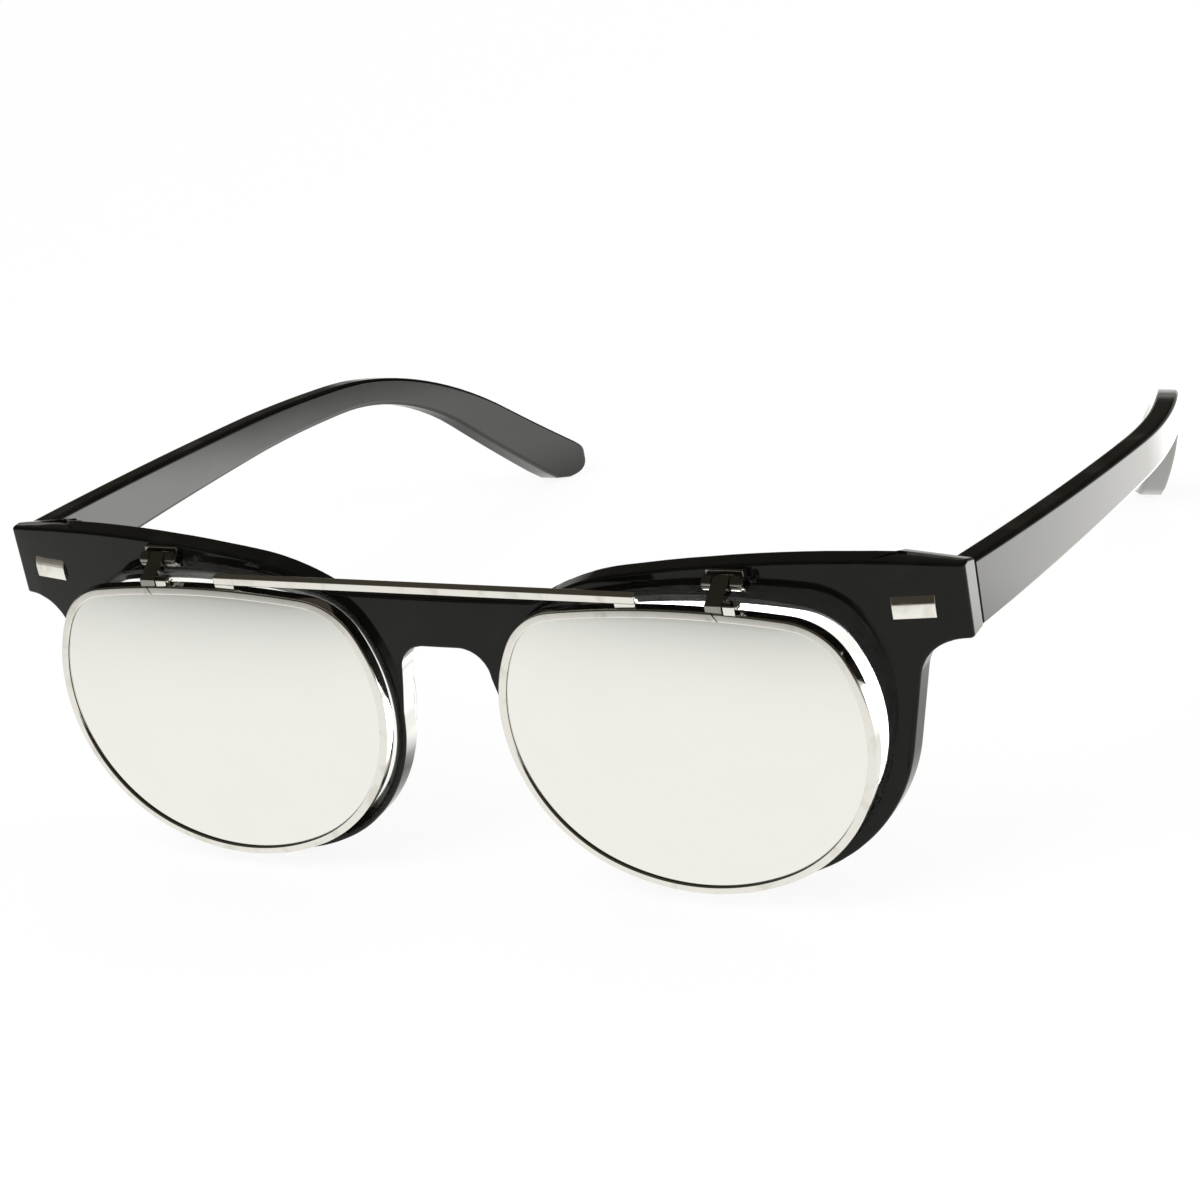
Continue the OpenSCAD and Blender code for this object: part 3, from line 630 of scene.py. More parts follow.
# %% The plan and the blank
END_BLOCK_W, END_CORNER_R = 9.5, 0.8
FACE_STEPS, CLEARING_STEPS = 30, 8
BLANK_OVER, CLEARING_OUT, CLEARING_UNDER = 3.0, 2.0, 1.0
end_inner_x = end_x - END_BLOCK_W


def wall_rear_y(x):
    return FACE_R - math.sqrt((FACE_R - FRONT_T) ** 2 - x * x)


corner = (end_x - END_CORNER_R, face_y(end_x) + END_CORNER_R)
face_points = [(corner[0] * place / FACE_STEPS, face_y(corner[0] * place / FACE_STEPS))
               for place in range(FACE_STEPS)]
rear_points = [(end_inner_x * place / FACE_STEPS, wall_rear_y(end_inner_x * place / FACE_STEPS))
               for place in range(FACE_STEPS, 0, -1)]
half_plan = (face_points + arc(corner, END_CORNER_R, -82, 0, 8)
             + [(end_x, corner[1]), (end_x, end_y), (end_inner_x, end_y)] + rear_points)
plan_drawing = half_plan + [(0, FRONT_T)] + [(-x, y) for x, y in reversed(half_plan[1:])]

front = from_front("front", front_drawing, -BLANK_OVER, end_y + BLANK_OVER)
cut(front, from_above("plan", plan_drawing, -BLANK_OVER, crest_z + BLANK_OVER), "INTERSECT")
clearing_w = END_BLOCK_W + CLEARING_OUT
clearing_xs = [end_inner_x + clearing_w * place / CLEARING_STEPS
               for place in range(CLEARING_STEPS + 1)]
clearing_drawing = ([(x, wall_rear_y(x)) for x in clearing_xs]
                    + [(clearing_xs[-1], end_y + BLANK_OVER), (end_inner_x, end_y + BLANK_OVER)])
for side in (RIGHT, LEFT):
    cut(front, beside(side, from_above("clearing", clearing_drawing,
                                       -BLANK_OVER, end_z - CLEARING_UNDER)))
print("front blank:", len(front.data.polygons), "faces")

# %% [markdown]
# The top of each end piece falls back towards the arm, so a tilted block planes it off. The
# openings are cut with a tool that widens in the last stretch before the face: that leaves
# the bevel round each lens.

# %% Plane the ends and cut the openings
END_TOP_DROP, END_TOP_STEP, END_TILT = 1.0, 0.2, 5.5
PLANE_W, PLANE_H, PLANE_OVER = 40.0, 10.0, 10.0
TOOL_BEHIND, TOOL_AHEAD, FRONT_EDGE = 8.0, 1.0, 0.42
end_front_z = crest_z - END_TOP_DROP
end_fall = math.atan2(end_front_z - end_z - TEMPLE_H - END_TOP_STEP, END_DEPTH)
lens_turn = math.asin(lens_x / FACE_R)


def planing_block():
    """A block on the plane of the end's top, which it oversteps outwards and forwards."""
    bpy.ops.mesh.primitive_cube_add(size=1, scale=(PLANE_W, PLANE_W, PLANE_H),
                                    location=(-PLANE_W / 2 + PLANE_OVER,
                                              PLANE_W / 2 - PLANE_OVER, PLANE_H / 2))
    plane = bpy.context.object
    settle(plane)
    plane.matrix_world = (Matrix.Translation((end_x, face_y(end_x), end_front_z))
                          @ Matrix.Rotation(math.radians(END_TILT), 4, "Y")
                          @ Matrix.Rotation(-end_fall, 4, "X"))
    settle(plane)
    return plane


def at_opening(piece):
    """Places a piece that was made round the lens centre, turned with the face there."""
    piece.matrix_world = (Matrix.Translation((lens_x, face_y(lens_x), lens_z))
                          @ Matrix.Rotation(lens_turn, 4, "Z"))
    settle(piece)
    return piece


def opening_tool():
    """Straight from behind the front up to the bevel, and then wider and wider."""
    rings = [[(x, depth, z) for x, z in ring_at(grow)]
             for depth, grow in ((FRONT_T + TOOL_BEHIND, 0), (BEVEL_D, 0), (0, BEVEL_W),
                                 (-TOOL_AHEAD, BEVEL_W * (1 + TOOL_AHEAD / BEVEL_D)))]
    return at_opening(lofted("opening", rings))


for side in (RIGHT, LEFT):
    cut(front, beside(side, planing_block()))
    cut(front, beside(side, opening_tool()))
round_edges(front, FRONT_EDGE, 4)
smooth(front)
print("front with its openings:", len(front.data.polygons), "faces")

# %% [markdown]
# The nose pads are long swellings that grow out of the rear of the rims. Each is a ball
# drawn out to an almond, leaned with the nose and sunk more than halfway into the rim. The
# opening is cut through it too.

# %% Nose pads
PAD_R, PAD_L, PAD_TILT = 1.5, 15.0, 11.0
PAD_IN, PAD_BEHIND, PAD_UP = 1.7, 0.1, 1.5


def nose_pad():
    bpy.ops.mesh.primitive_uv_sphere_add(segments=48, ring_count=32, radius=1)
    pad = bpy.context.object
    pad.scale = (PAD_R, PAD_R, PAD_L / 2)
    settle(pad)
    pad.matrix_world = (
        Matrix.Translation((nose_x + PAD_IN, FRONT_T + PAD_BEHIND, lens_z + PAD_UP))
        @ Matrix.Rotation(math.radians(-PAD_TILT), 4, "Y"))
    settle(pad)
    cut(pad, opening_tool())
    return pad


pads = [beside(side, nose_pad()) for side in (RIGHT, LEFT)]
for pad in pads:
    smooth(pad, 50)
joined(front, *pads)
hand_over(stood(front), "front_moulding", "front", "black_plastic", black_plastic,
          "front_frame")

# %% [markdown]
# ## The arms
#
# An arm is drawn from the side, deep at the hinge, slimmer along the ear and bent down to a
# round tip, and from above, bowed out along the head and curved in behind it. The upper and
# the lower edge are two lines of points that run from the hinge to the very end of the tip.

# %% Arm drawings
BEND_L, BEND_H, BEND_DROP, TIP_R = 40.5, 4.9, 3.2, 3.2
BEND_R, FOOT_BEND_R = 50.0, 34.0
TEMPLE_GAP = 0.1
temple_y = end_y + TEMPLE_GAP
temple_top_z = end_z + TEMPLE_H
bend_y = end_y + TEMPLE_LEN - BEND_L
tip = (end_y + TEMPLE_LEN - TIP_R, TIP_R)
top_bend = (bend_y, end_z - BEND_DROP)
foot_bend = (bend_y, top_bend[1] - BEND_H)
top_slope = turned(bend_y - temple_y, temple_top_z - top_bend[1])
foot_slope = turned(bend_y - temple_y, end_z - foot_bend[1])
top_centre = on_arc(top_bend, -BEND_R, 90 - top_slope)
foot_centre = on_arc(foot_bend, -FOOT_BEND_R, 90 - foot_slope)


def tip_facing(centre, radius):
    """Direction in which an edge faces where it runs straight from its bend to the tip."""
    run = (tip[0] - centre[0], tip[1] - centre[1])
    return turned(*run) + math.degrees(math.acos(min(1, radius / math.hypot(*run))))


def arm_line(start, centre, radius, slope, facing, tip_turn):
    """An edge of the arm in y and z: straight, round the bend, straight, round the tip."""
    return ([start] + arc(centre, radius, 90 - slope, facing, 1)
            + [on_arc(centre, radius, facing)]
            + arc(tip, TIP_R, tip_turn, 0, 3) + [(tip[0] + TIP_R, tip[1])])


top_facing = tip_facing(top_centre, BEND_R - TIP_R)
foot_facing = tip_facing(foot_centre, FOOT_BEND_R + TIP_R)
top_line = arm_line((temple_y, temple_top_z), top_centre, BEND_R, top_slope, top_facing,
                    top_facing)
foot_line = arm_line((temple_y, end_z), foot_centre, FOOT_BEND_R, foot_slope, foot_facing,
                     foot_facing - 180)
print("arm lines:", len(top_line), "and", len(foot_line), "points")

# %% [markdown]
# The arm is pulled through sections that stand across it at close stations. Each section
# reads its height off the two lines and its sides off the plan, and has tumbled corners. The
# sections crowd together at both ends, where they also draw in: a little at the hinge, so
# that only a hairline seam is left there, and to a thumb shape at the tip.

# %% Arm sections
ARM_EDGE, HINGE_EDGE, TIP_EDGE, MOST_ROUND = 0.75, 0.2, 2.0, 0.48
CORNER_STEPS = (0, 18, 36, 54, 72, 90)
TEMPLE_BOW, BOW_SHARE, TIP_CURVE_R = 2.5, 0.72, 98.0
arm_end = tip[0] + TIP_R
bow_y = temple_y + (bend_y - temple_y) * BOW_SHARE
bow_x = end_x + TEMPLE_BOW
bow_r = ((bow_y - temple_y) ** 2 + TEMPLE_BOW ** 2) / (2 * TEMPLE_BOW)


def level_at(line, y):
    """Height of a line of points at a depth."""
    for (y0, z0), (y1, z1) in zip(line, line[1:]):
        if y0 <= y <= y1 and y1 > y0:
            return z0 + (z1 - z0) * (y - y0) / (y1 - y0)
    return line[-1][1]


def side_x(y, inset):
    """The arm's side from above, moved in from its outer face."""
    radius = bow_r if y < bow_y else TIP_CURVE_R
    return bow_x - radius + math.sqrt((radius - inset) ** 2 - (y - bow_y) ** 2)


def drawn_in(distance, edge):
    """How far a quarter round edge draws in at a distance before its end."""
    short = max(0.0, edge - distance)
    return edge - math.sqrt(edge * edge - short * short)


def arm_section(y):
    hinge_inset = drawn_in(y - temple_y, HINGE_EDGE)
    inset = hinge_inset + drawn_in(arm_end - y, TIP_EDGE)
    outer_side, inner_side = side_x(y, 0) - inset, side_x(y, TEMPLE_T) + inset
    top, foot = level_at(top_line, y) - hinge_inset, level_at(foot_line, y) + hinge_inset
    rounding = min(ARM_EDGE, MOST_ROUND * (outer_side - inner_side), MOST_ROUND * (top - foot))
    corners = ((outer_side - rounding, top - rounding), (inner_side + rounding, top - rounding),
               (inner_side + rounding, foot + rounding), (outer_side - rounding, foot + rounding))
    return [(x, y, z) for quarter, corner_place in enumerate(corners)
            for x, z in [on_arc(corner_place, rounding, 90 * quarter + turn)
                         for turn in CORNER_STEPS]]


ARM_STEPS, END_STEPS = 66, 12
quarter_turns = [math.pi / 2 * step / END_STEPS for step in range(END_STEPS)]
stations = ([temple_y + HINGE_EDGE * (1 - math.cos(turn)) for turn in quarter_turns[::3]]
            + [temple_y + HINGE_EDGE + (tip[0] - temple_y - HINGE_EDGE) * step / ARM_STEPS
               for step in range(ARM_STEPS)]
            + [tip[0] + TIP_R * math.sin(turn) for turn in quarter_turns])
arm_rings = [arm_section(y) for y in stations]
print("arm sections:", len(arm_rings), "of", len(arm_rings[0]), "points")

# %% Pull both arms
for side, name in ((RIGHT, "right"), (LEFT, "left")):
    arm = beside(side, lofted("arm", arm_rings))
    smooth(arm)
    hand_over(stood(arm), name + "_arm_moulding", name + "_arm",
              "black_plastic", black_plastic, name + "_temple")

# %% [markdown]
# ## The lenses
#
# A lens is a thin shell of two spheres with a ground edge. A ball already has the right
# build, rings round two poles, so it is pressed flat: each ring of the ball becomes a ring
# of the lens outline, and its depth is read off the lens's own sphere. The rings next to the
# edge are kept close together, and they round it.

# %% Press a lens from a ball
LENS_LEVELS = 26
EDGE_LEVELS = ((0.0, 0.0), (0.04, 0.55), (0.16, 0.9), (0.35, 1.0))


def sphere_depth(x, z, radius, offset):
    """Depth behind a sphere's foremost point, on a layer moved back by the offset."""
    layer = radius - offset
    return radius - math.sqrt(layer * layer - x * x - z * z)


def pressed_lens(name, radius, thickness, grow, centre=(0.0, 0.0)):
    bpy.ops.object.select_all(action="DESELECT")
    bpy.ops.mesh.primitive_uv_sphere_add(segments=RING_COUNT, ring_count=2 * LENS_LEVELS,
                                         radius=1)
    lens = bpy.context.object
    lens.name = name
    inner_levels = LENS_LEVELS - len(EDGE_LEVELS) + 1
    for vertex in lens.data.vertices:
        height = math.asin(max(-1.0, min(1.0, vertex.co.z))) / (math.pi / 2) * LENS_LEVELS
        ring = round(abs(height))
        station = round(math.atan2(vertex.co.y, vertex.co.x) / math.tau * RING_COUNT)
        x, z, out_x, out_z = lens_ring[station % RING_COUNT]
        inset, swell = EDGE_LEVELS[min(ring, len(EDGE_LEVELS) - 1)]
        share = min(1.0, (LENS_LEVELS - ring) / inner_levels)
        x = share * (x + (grow - inset) * out_x)
        z = share * (z + (grow - inset) * out_z)
        offset = math.copysign(thickness / 2 * swell, -height)
        depth = sphere_depth(x - centre[0], z - centre[1], radius, offset)
        vertex.co = (x, depth, z)
    face_outwards(lens)
    return lens


# %% [markdown]
# The clear lenses sit in the groove behind the bevel, and the mirror lenses in the groove of
# the wire. The mirror lenses are curved more, and the foremost point of their curve lies
# towards the nose and low, because the wire frame wraps the face a little.

# %% Clear and mirror lenses
GROOVE_D, SEAT_GAP, WIRE_GROOVE_D = 0.8, 0.05, 0.5
CLEAR_AHEAD, FLIP_SPREAD = 0.85, 0.35
clear_y = (FRONT_T + BEVEL_D) / 2 - CLEAR_AHEAD
flip_x = lens_x + FLIP_SPREAD
flip_z = lens_z + FLIP_RISE
MIRROR_CENTRE = (-2.3, -3.7)


def flip_depth(x, z, offset=0.0):
    """Depth of the curve that the mirror lenses share with their wire, beside the nose as
    positive x, measured in the standing front."""
    return -FLIP_STAND + sphere_depth(x - flip_x - MIRROR_CENTRE[0], z - flip_z - MIRROR_CENTRE[1],
                                      MIRROR_R, offset)


for side, name in ((RIGHT, "right"), (LEFT, "left")):
    lens = pressed_lens("clear", CLEAR_R, CLEAR_T, GROOVE_D - SEAT_GAP)
    lens.location = (0, clear_y, 0)
    settle(lens)
    smooth(beside(side, at_opening(lens)))
    hand_over(stood(lens), name + "_clear_lens_polished", "front",
              "clear_plastic", clear_plastic, name + "_clear_lens")

    lens = pressed_lens("mirror", MIRROR_R, MIRROR_T, WIRE_GROOVE_D - SEAT_GAP, MIRROR_CENTRE)
    lens.location = (flip_x, -FLIP_STAND, flip_z)
    settle(lens)
    smooth(beside(side, lens))
    hand_over(stood(lens), name + "_mirror_lens_coated", "flip",
              "mirror_coat", mirror_coat, name + "_mirror_lens")

# %% [markdown]
# ## The wire rims
#
# The rims are drawn wire with a flat oblong section, bent round the lens and closed above it
# with a block that the rim screw pulls together. A torus is a ring of rings: its big ring is
# laid along the lens outline, and its small ring takes the section of the wire. The groove
# for the lens is part of that section.

# %% Wire section and rims
WIRE_CORNER, SEAT_IN, SEAT_WIDER = 0.28, 0.08, 0.06
CORNER_TURNS = (9, 33, 57, 81)


def wire_section():
    """Section of the wire, as (outwards, backwards), with round corners and the lens groove."""
    half_w, half_d = WIRE_W / 2, WIRE_D / 2
    section = []
    for quarter, (out, rear) in enumerate(((1, 1), (-1, 1), (-1, -1), (1, -1))):
        centre = (out * (half_w - WIRE_CORNER), rear * (half_d - WIRE_CORNER))
        section += [on_arc(centre, WIRE_CORNER, 90 * quarter + turn) for turn in CORNER_TURNS]
        if quarter == 1:
            seat = MIRROR_T / 2 + SEAT_GAP
            section += [(-half_w, seat + SEAT_WIDER), (-half_w + SEAT_IN, seat),
                        (-half_w + WIRE_GROOVE_D, seat), (-half_w + WIRE_GROOVE_D, -seat),
                        (-half_w + SEAT_IN, -seat), (-half_w, -seat - SEAT_WIDER)]
    return section


section = wire_section()


def wire_ring(name):
    bpy.ops.object.select_all(action="DESELECT")
    bpy.ops.mesh.primitive_torus_add(major_segments=RING_COUNT, minor_segments=len(section),
                                     major_radius=LENS_W / 2, minor_radius=WIRE_W / 2)
    ring = bpy.context.object
    ring.name = name
    for vertex in ring.data.vertices:
        station, place = divmod(vertex.index, len(section))
        outwards, backwards = section[place]
        x, z, out_x, out_z = lens_ring[station]
        grow = WIRE_W / 2 + outwards
        x, z = flip_x + x + grow * out_x, flip_z + z + grow * out_z
        vertex.co = (x, flip_depth(x, z, backwards), z)
    face_outwards(ring)
    return ring


print("wire section:", len(section), "points")

# %% [markdown]
# The closing block is cut through together with the wire: a thin blade, leaned over, makes
# the split. One half of the block is the lug on the rim, and the other half is the foot of
# the moving hinge leaf.

# %% Block, split and rims
FLIP_HINGE_OUT, TAB_W, LUG_GAP, LUG_L = 7.5, 2.4, 0.15, 1.7
BLOCK_D, BLOCK_SUNK = 1.9, 0.3
LUG_TOP, LUG_FOOT, LUG_EDGE = 1.05, 0.3, 0.18
SPLIT_W, SPLIT_OUT, SPLIT_TURN = 0.15, 0.2, 35
BLADE_D, BLADE_L, BLADE_DOWN = 3.0, 4.0, 1.0
flip_top_z = flip_z + LENS_H / 2 + WIRE_W
flip_hinge_x = flip_x + FLIP_HINGE_OUT
block_z = flip_top_z - BLOCK_SUNK
block_y = flip_depth(flip_hinge_x, flip_top_z)


def block(name, low, high, rounding=0.0, segments=3):
    """A cube stretched between two corners, with its edges rounded."""
    bpy.ops.object.select_all(action="DESELECT")
    middle = [(a + b) / 2 for a, b in zip(low, high)]
    bpy.ops.mesh.primitive_cube_add(size=1, location=middle,
                                    scale=[b - a for a, b in zip(low, high)])
    piece = bpy.context.object
    piece.name = name
    settle(piece)
    if rounding:
        round_edges(piece, rounding, segments)
    return piece


def split_blade(hinge_x):
    blade = block("blade", (-SPLIT_W / 2, -BLADE_D / 2, -BLADE_L / 2),
                  (SPLIT_W / 2, BLADE_D / 2, BLADE_L / 2))
    blade.matrix_world = (
        Matrix.Translation((hinge_x + SPLIT_OUT, block_y, flip_top_z - BLADE_DOWN))
        @ Matrix.Rotation(math.radians(-SPLIT_TURN), 4, "Y"))
    settle(blade)
    return blade


for side, name in ((RIGHT, "right"), (LEFT, "left")):
    hinge_x = side * flip_hinge_x
    rim = beside(side, wire_ring("rim"))
    cut(rim, split_blade(hinge_x))
    lug_x = hinge_x + TAB_W / 2 + LUG_GAP
    lug = block("lug", (lug_x, block_y - BLOCK_D / 2, block_z - LUG_FOOT),
                (lug_x + LUG_L, block_y + BLOCK_D / 2, block_z + LUG_TOP), LUG_EDGE)
    smooth(joined(rim, lug))
    hand_over(stood(rim), name + "_rim_wire", "flip", "chrome_wire", chrome_wire,
              name + "_flip_rim")

# %% [markdown]
# ## The bar over the nose
#
# A square wire joins the two rims, soldered to their tops. Its edges are well rounded, so that
# its top mirrors the dark room and its front the table, and the solder leaves a small foot at
# each end.

# %% Bar
BAR_S, BAR_L, BAR_UP, BAR_EDGE = 1.4, 65.0, 0.35, 0.34
FOOT_L, FOOT_IN, FOOT_DOWN, FOOT_UP, FOOT_EDGE = 3.2, 0.12, 0.8, 0.6, 0.25
bar_z = flip_top_z + BAR_UP
bar_y = flip_depth(BAR_L / 2, flip_top_z)
bar = block("bar", (-BAR_L / 2, bar_y - BAR_S / 2, bar_z),
            (BAR_L / 2, bar_y + BAR_S / 2, bar_z + BAR_S), BAR_EDGE, 5)
feet = []
for side in (RIGHT, LEFT):
    foot_x = side * (BAR_L - FOOT_L) / 2
    foot_half_d = BAR_S / 2 - FOOT_IN
    feet.append(block("foot", (foot_x - FOOT_L / 2, bar_y - foot_half_d, bar_z - FOOT_DOWN),
                      (foot_x + FOOT_L / 2, bar_y + foot_half_d, bar_z + FOOT_UP), FOOT_EDGE))
smooth(joined(bar, *feet))
hand_over(stood(bar), "nose_bar", "flip", "chrome_wire", chrome_wire, "brow_bar")

# %% [markdown]
# ## The plaques
#
# The two plates on the end pieces are pressed to a low ridge that runs along them a little
# above the middle. Below it the plate bellies out and mirrors the table, and above it the
# plate leans back and mirrors the darker room. Drawn from the side, that is one line of
# points whose slope changes quickly at the ridge.

# %% Plaques
PLAQUE_W, PLAQUE_H, PLAQUE_T, PLAQUE_PROUD = 5.7, 3.3, 1.0, 0.4
PLAQUE_IN, PLAQUE_UP, PLAQUE_EDGE, PLAQUE_STEPS = 6.8, 5.1, 0.1, 40
PLAQUE_SLOPES = ((0.0, -16), (0.08, -6), (0.3, 0), (0.58, 5), (0.62, 15), (0.7, 18), (0.94, 19),
                 (1.0, 26))
plaque_x = end_x - PLAQUE_IN
plaque_z = end_z + PLAQUE_UP


def slope_at(share):
    """How far the plate leans back, in degrees, at a share of its height."""
    for (low, slope), (high, next_slope) in zip(PLAQUE_SLOPES, PLAQUE_SLOPES[1:]):
        if share <= high:
            return slope + (next_slope - slope) * (share - low) / (high - low)
    return PLAQUE_SLOPES[-1][1]


def plaque():
    depths = [0.0]
    for step in range(PLAQUE_STEPS):
        leaned = math.radians(slope_at((step + 0.5) / PLAQUE_STEPS))
        depths.append(depths[-1] + PLAQUE_H / PLAQUE_STEPS * math.tan(leaned))
    front_line = [(depth - min(depths), PLAQUE_H * (step / PLAQUE_STEPS - 0.5))
                  for step, depth in enumerate(depths)]
    rear_line = [(PLAQUE_T, PLAQUE_H / 2), (PLAQUE_T, -PLAQUE_H / 2)]
    plate = from_side("plaque", front_line + rear_line, -PLAQUE_W / 2, PLAQUE_W / 2)
    round_edges(plate, PLAQUE_EDGE, 3, angle=50)
    plate.matrix_world = (
        Matrix.Translation((plaque_x, face_y(plaque_x) - PLAQUE_PROUD, plaque_z))
        @ Matrix.Rotation(math.asin(plaque_x / FACE_R), 4, "Z"))
    settle(plate)
    return plate


for side, name in ((RIGHT, "right"), (LEFT, "left")):
    plate = beside(side, plaque())
    smooth(plate, 50)
    hand_over(stood(plate), name + "_plaque_pressed", "front", "bright_metal", bright_metal,
              name + "_plaque")

# %% [markdown]
# ## The small hardware
#
# Brackets, moving leaves, screws and arm hinges have their shape from the construction
# already: they are turned, drilled and slotted parts. A copy of each is merged, cleared of
# the triangles that its flat faces don't need, and given the small rounded edge that
# plating and tumbling leave.

# %% Hardware from the construction
def worked_copy(source, edge, segments=2):
    only(nodes[source])
    bpy.ops.object.duplicate()
    piece = bpy.context.object
    bpy.ops.object.parent_clear(type="CLEAR")
    del piece["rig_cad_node"]
    piece.scale = (1 / MM, 1 / MM, 1 / MM)
    settle(piece)
    edit_all(piece,
             lambda: bpy.ops.mesh.remove_doubles(threshold=0.002),
             lambda: bpy.ops.mesh.dissolve_limited(angle_limit=math.radians(1)))
    round_edges(piece, edge, segments, angle=38)
    smooth(piece)
    return piece


# The leaves, brackets and flip screws take the plating whose colour is darkened as painted shade.
HARDWARE = (
    ("flip_bracket", "front", "dark_chrome", dark_chrome, 0.12),
    ("flip_screw", "front", "dark_chrome", dark_chrome, 0.06),
    ("flip_tab", "flip", "dark_chrome", dark_chrome, 0.12),
    ("rim_screw", "flip", "chrome_wire", chrome_wire, 0.05),
    ("front_hinge", "front", "hinge_steel", hinge_steel, 0.1),
    ("hinge_screw", "front", "hinge_steel", hinge_steel, 0.06),
    ("temple_hinge", "arm", "hinge_steel", hinge_steel, 0.1),
)
for name in ("right", "left"):
    for part, body, slot, material, edge in HARDWARE:
        source = f"{name}_{part}"
        body = name + "_arm" if body == "arm" else body
        hand_over(worked_copy(source, edge), source + "_worked", body, slot, material, source)

# %% [markdown]
# ## Floor, light and background
#
# The photograph is a shop picture: a white table that runs on into white, light from all
# round, and a darker room above that only the polished metal sees. The floor shows nearly
# white to the camera and keeps a faint shadow. What the polished parts mirror is drawn into
# the floor and the world as plain brightness by place, never by where the camera stands.

# %% Floor
FLOOR_HALF, FLOOR_GAP = 1.6, 0.0002
bpy.ops.object.select_all(action="DESELECT")
bpy.ops.mesh.primitive_plane_add(size=2 * FLOOR_HALF,
                                 location=(0, 0, cad_box[0][2] - FLOOR_GAP))
floor = bpy.context.object
floor.name = "floor"

floor_paint = bpy.data.materials.new("floor_paint")
floor_paint.use_nodes = True
tree = floor_paint.node_tree
tree.nodes.clear()
output = node(tree, "OutputMaterial")
matt = node(tree, "BsdfDiffuse")
matt.inputs["Color"].default_value = (0.9, 0.9, 0.89, 1)
rays = node(tree, "LightPath")
place = node(tree, "TexCoord")


def glow(tree, colour, strength=1.0):
    shine = node(tree, "Emission")
    shine.inputs["Color"].default_value = (*colour, 1)
    shine.inputs["Strength"].default_value = strength
    return shine


def mixed(tree, factor, first, second):
    mix = node(tree, "MixShader")
    if isinstance(factor, float):
        mix.inputs["Fac"].default_value = factor
    else:
        tree.links.new(factor, mix.inputs["Fac"])
    tree.links.new(first.outputs[0], mix.inputs[1])
    tree.links.new(second.outputs[0], mix.inputs[2])
    return mix


def seen_straight(tree, rays):
    """1 for the rays that the camera sends out or sees through a clear lens."""
    return calculated(tree, "MAXIMUM", rays.outputs["Is Camera Ray"],
                      rays.outputs["Is Transmission Ray"])


# %% [markdown]
# What the polish mirrors of the floor falls off with distance, and there are three pools of
# light on it: a broad one beside the left arm, which its outer face mirrors, a small one
# behind the nose for the walls of the nose arch, and one for the inside of the right arm. The
# pools show only in a first reflection, so they don't wander from mirror to mirror.

# %% Floor paint
def far_from(tree, x, y):
    """Distance on the floor from a place."""
    offset = node(tree, "VectorMath", operation="SUBTRACT")
    offset.inputs[1].default_value = (x, y, 0)
    tree.links.new(place.outputs["Object"], offset.inputs[0])
    reach = node(tree, "VectorMath", operation="LENGTH")
    tree.links.new(offset.outputs["Vector"], reach.inputs[0])
    return reach.outputs["Value"]


# Place in x and y, inner and outer radius, and strength in the middle
POOLS = (
    (0.12, 0.09, 0.055, 0.12, 3.6),       # beside the left arm
    (0.016, -0.025, 0.014, 0.034, 12.0),  # behind the nose
    (-0.02, 0.045, 0.015, 0.055, 4.8),    # inside the right arm
)
near = shaped(tree, far_from(tree, 0, 0), 0.12, 0.55, 1.0, 0.36)
once = calculated(tree, "LESS_THAN", rays.outputs["Glossy Depth"], 1.5)
all_light = near
for x, y, inner, outer_edge, strength in POOLS:
    pool = shaped(tree, far_from(tree, x, y), inner, outer_edge, strength, 0.0)
    all_light = calculated(tree, "ADD", all_light, calculated(tree, "MULTIPLY", pool, once))
mirrored = glow(tree, (1.0, 0.99, 0.95))
tree.links.new(all_light, mirrored.inputs["Strength"])
white = glow(tree, (1, 1, 1))
shown = mixed(tree, 0.9, matt, white)
seen = mixed(tree, seen_straight(tree, rays), matt, shown)
final = mixed(tree, rays.outputs["Is Glossy Ray"], seen, mirrored)
tree.links.new(final.outputs["Shader"], output.inputs["Surface"])
floor.data.materials.append(floor_paint)
print("floor", 2 * FLOOR_HALF, "m square")

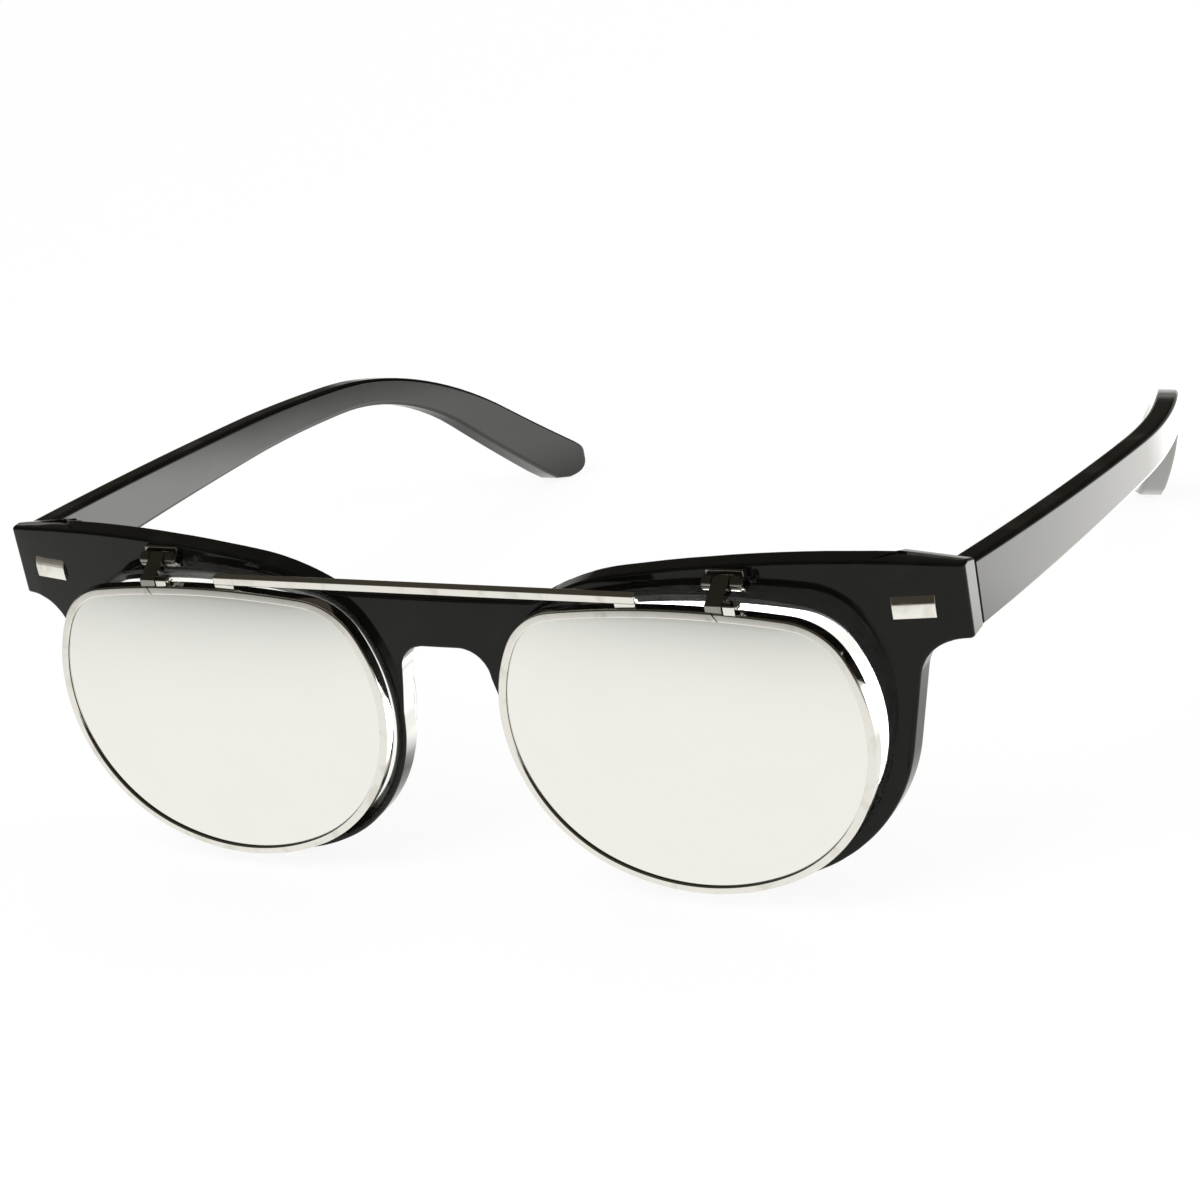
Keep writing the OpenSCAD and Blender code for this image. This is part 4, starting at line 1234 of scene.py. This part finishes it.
# %% World
world = bpy.data.worlds.new("studio")
bpy.context.scene.world = world
world.use_nodes = True
tree = world.node_tree
tree.nodes.clear()
output = node(tree, "OutputWorld")
rays = node(tree, "LightPath")
place = node(tree, "TexCoord")
axes = node(tree, "SeparateXYZ")
tree.links.new(place.outputs["Generated"], axes.inputs["Vector"])
rise = shaped(tree, axes.outputs["Z"], -0.02, 0.10, 0.55, 0.05)
browned = shaped(tree, axes.outputs["Z"], 0.0, 0.12)


def background(colour, strength=1.0):
    shine = node(tree, "Background")
    shine.inputs["Color"].default_value = (*colour, 1)
    shine.inputs["Strength"].default_value = strength
    return shine


room = background((1, 1, 1))
wall_tone = node(tree, "Mix", data_type="RGBA")
wall_tone.inputs["A"].default_value = (1.0, 0.98, 0.94, 1)
wall_tone.inputs["B"].default_value = (1.0, 0.89, 0.66, 1)
tree.links.new(browned, wall_tone.inputs["Factor"])
tree.links.new(wall_tone.outputs["Result"], room.inputs["Color"])
tree.links.new(rise, room.inputs["Strength"])
plain = background((1, 1, 1), 0.55)
white = background((1, 1, 1))
lit = mixed(tree, rays.outputs["Is Glossy Ray"], plain, room)
final = mixed(tree, seen_straight(tree, rays), lit, white)
tree.links.new(final.outputs["Shader"], output.inputs["Surface"])
print("world: white to the camera, a darker room above for the metal")

# %% [markdown]
# Three soft lamps light the floor and whatever isn't a mirror: a broad one from above and
# before, one beside the wearer's left, and a strip behind. Polished things don't show them,
# because what those mirror is painted on the floor and the room.

# %% Lamps
LAMPS = (
    ("over", (-0.25, -0.45, 0.75), 0.5, 0.5, 4.5),
    ("beside", (0.75, 0.1, 0.35), 0.35, 0.5, 3.0),
    ("strip_behind", (-0.1, 0.8, 0.42), 0.9, 0.05, 1.6),
)
LAMP_AIM = Vector((0, 0, 0.02))
for name, spot, width, height, power in LAMPS:
    bpy.ops.object.light_add(type="AREA", location=spot)
    lamp = bpy.context.object
    lamp.name = name
    lamp.data.shape = "RECTANGLE"
    lamp.data.size = width
    lamp.data.size_y = height
    lamp.data.energy = power
    lamp.rotation_mode = "QUATERNION"
    aim = LAMP_AIM - Vector(spot)
    lamp.rotation_quaternion = aim.to_track_quat("-Z", "Y")
    lamp.visible_glossy = False
print("lamps:", [row[0] for row in LAMPS])
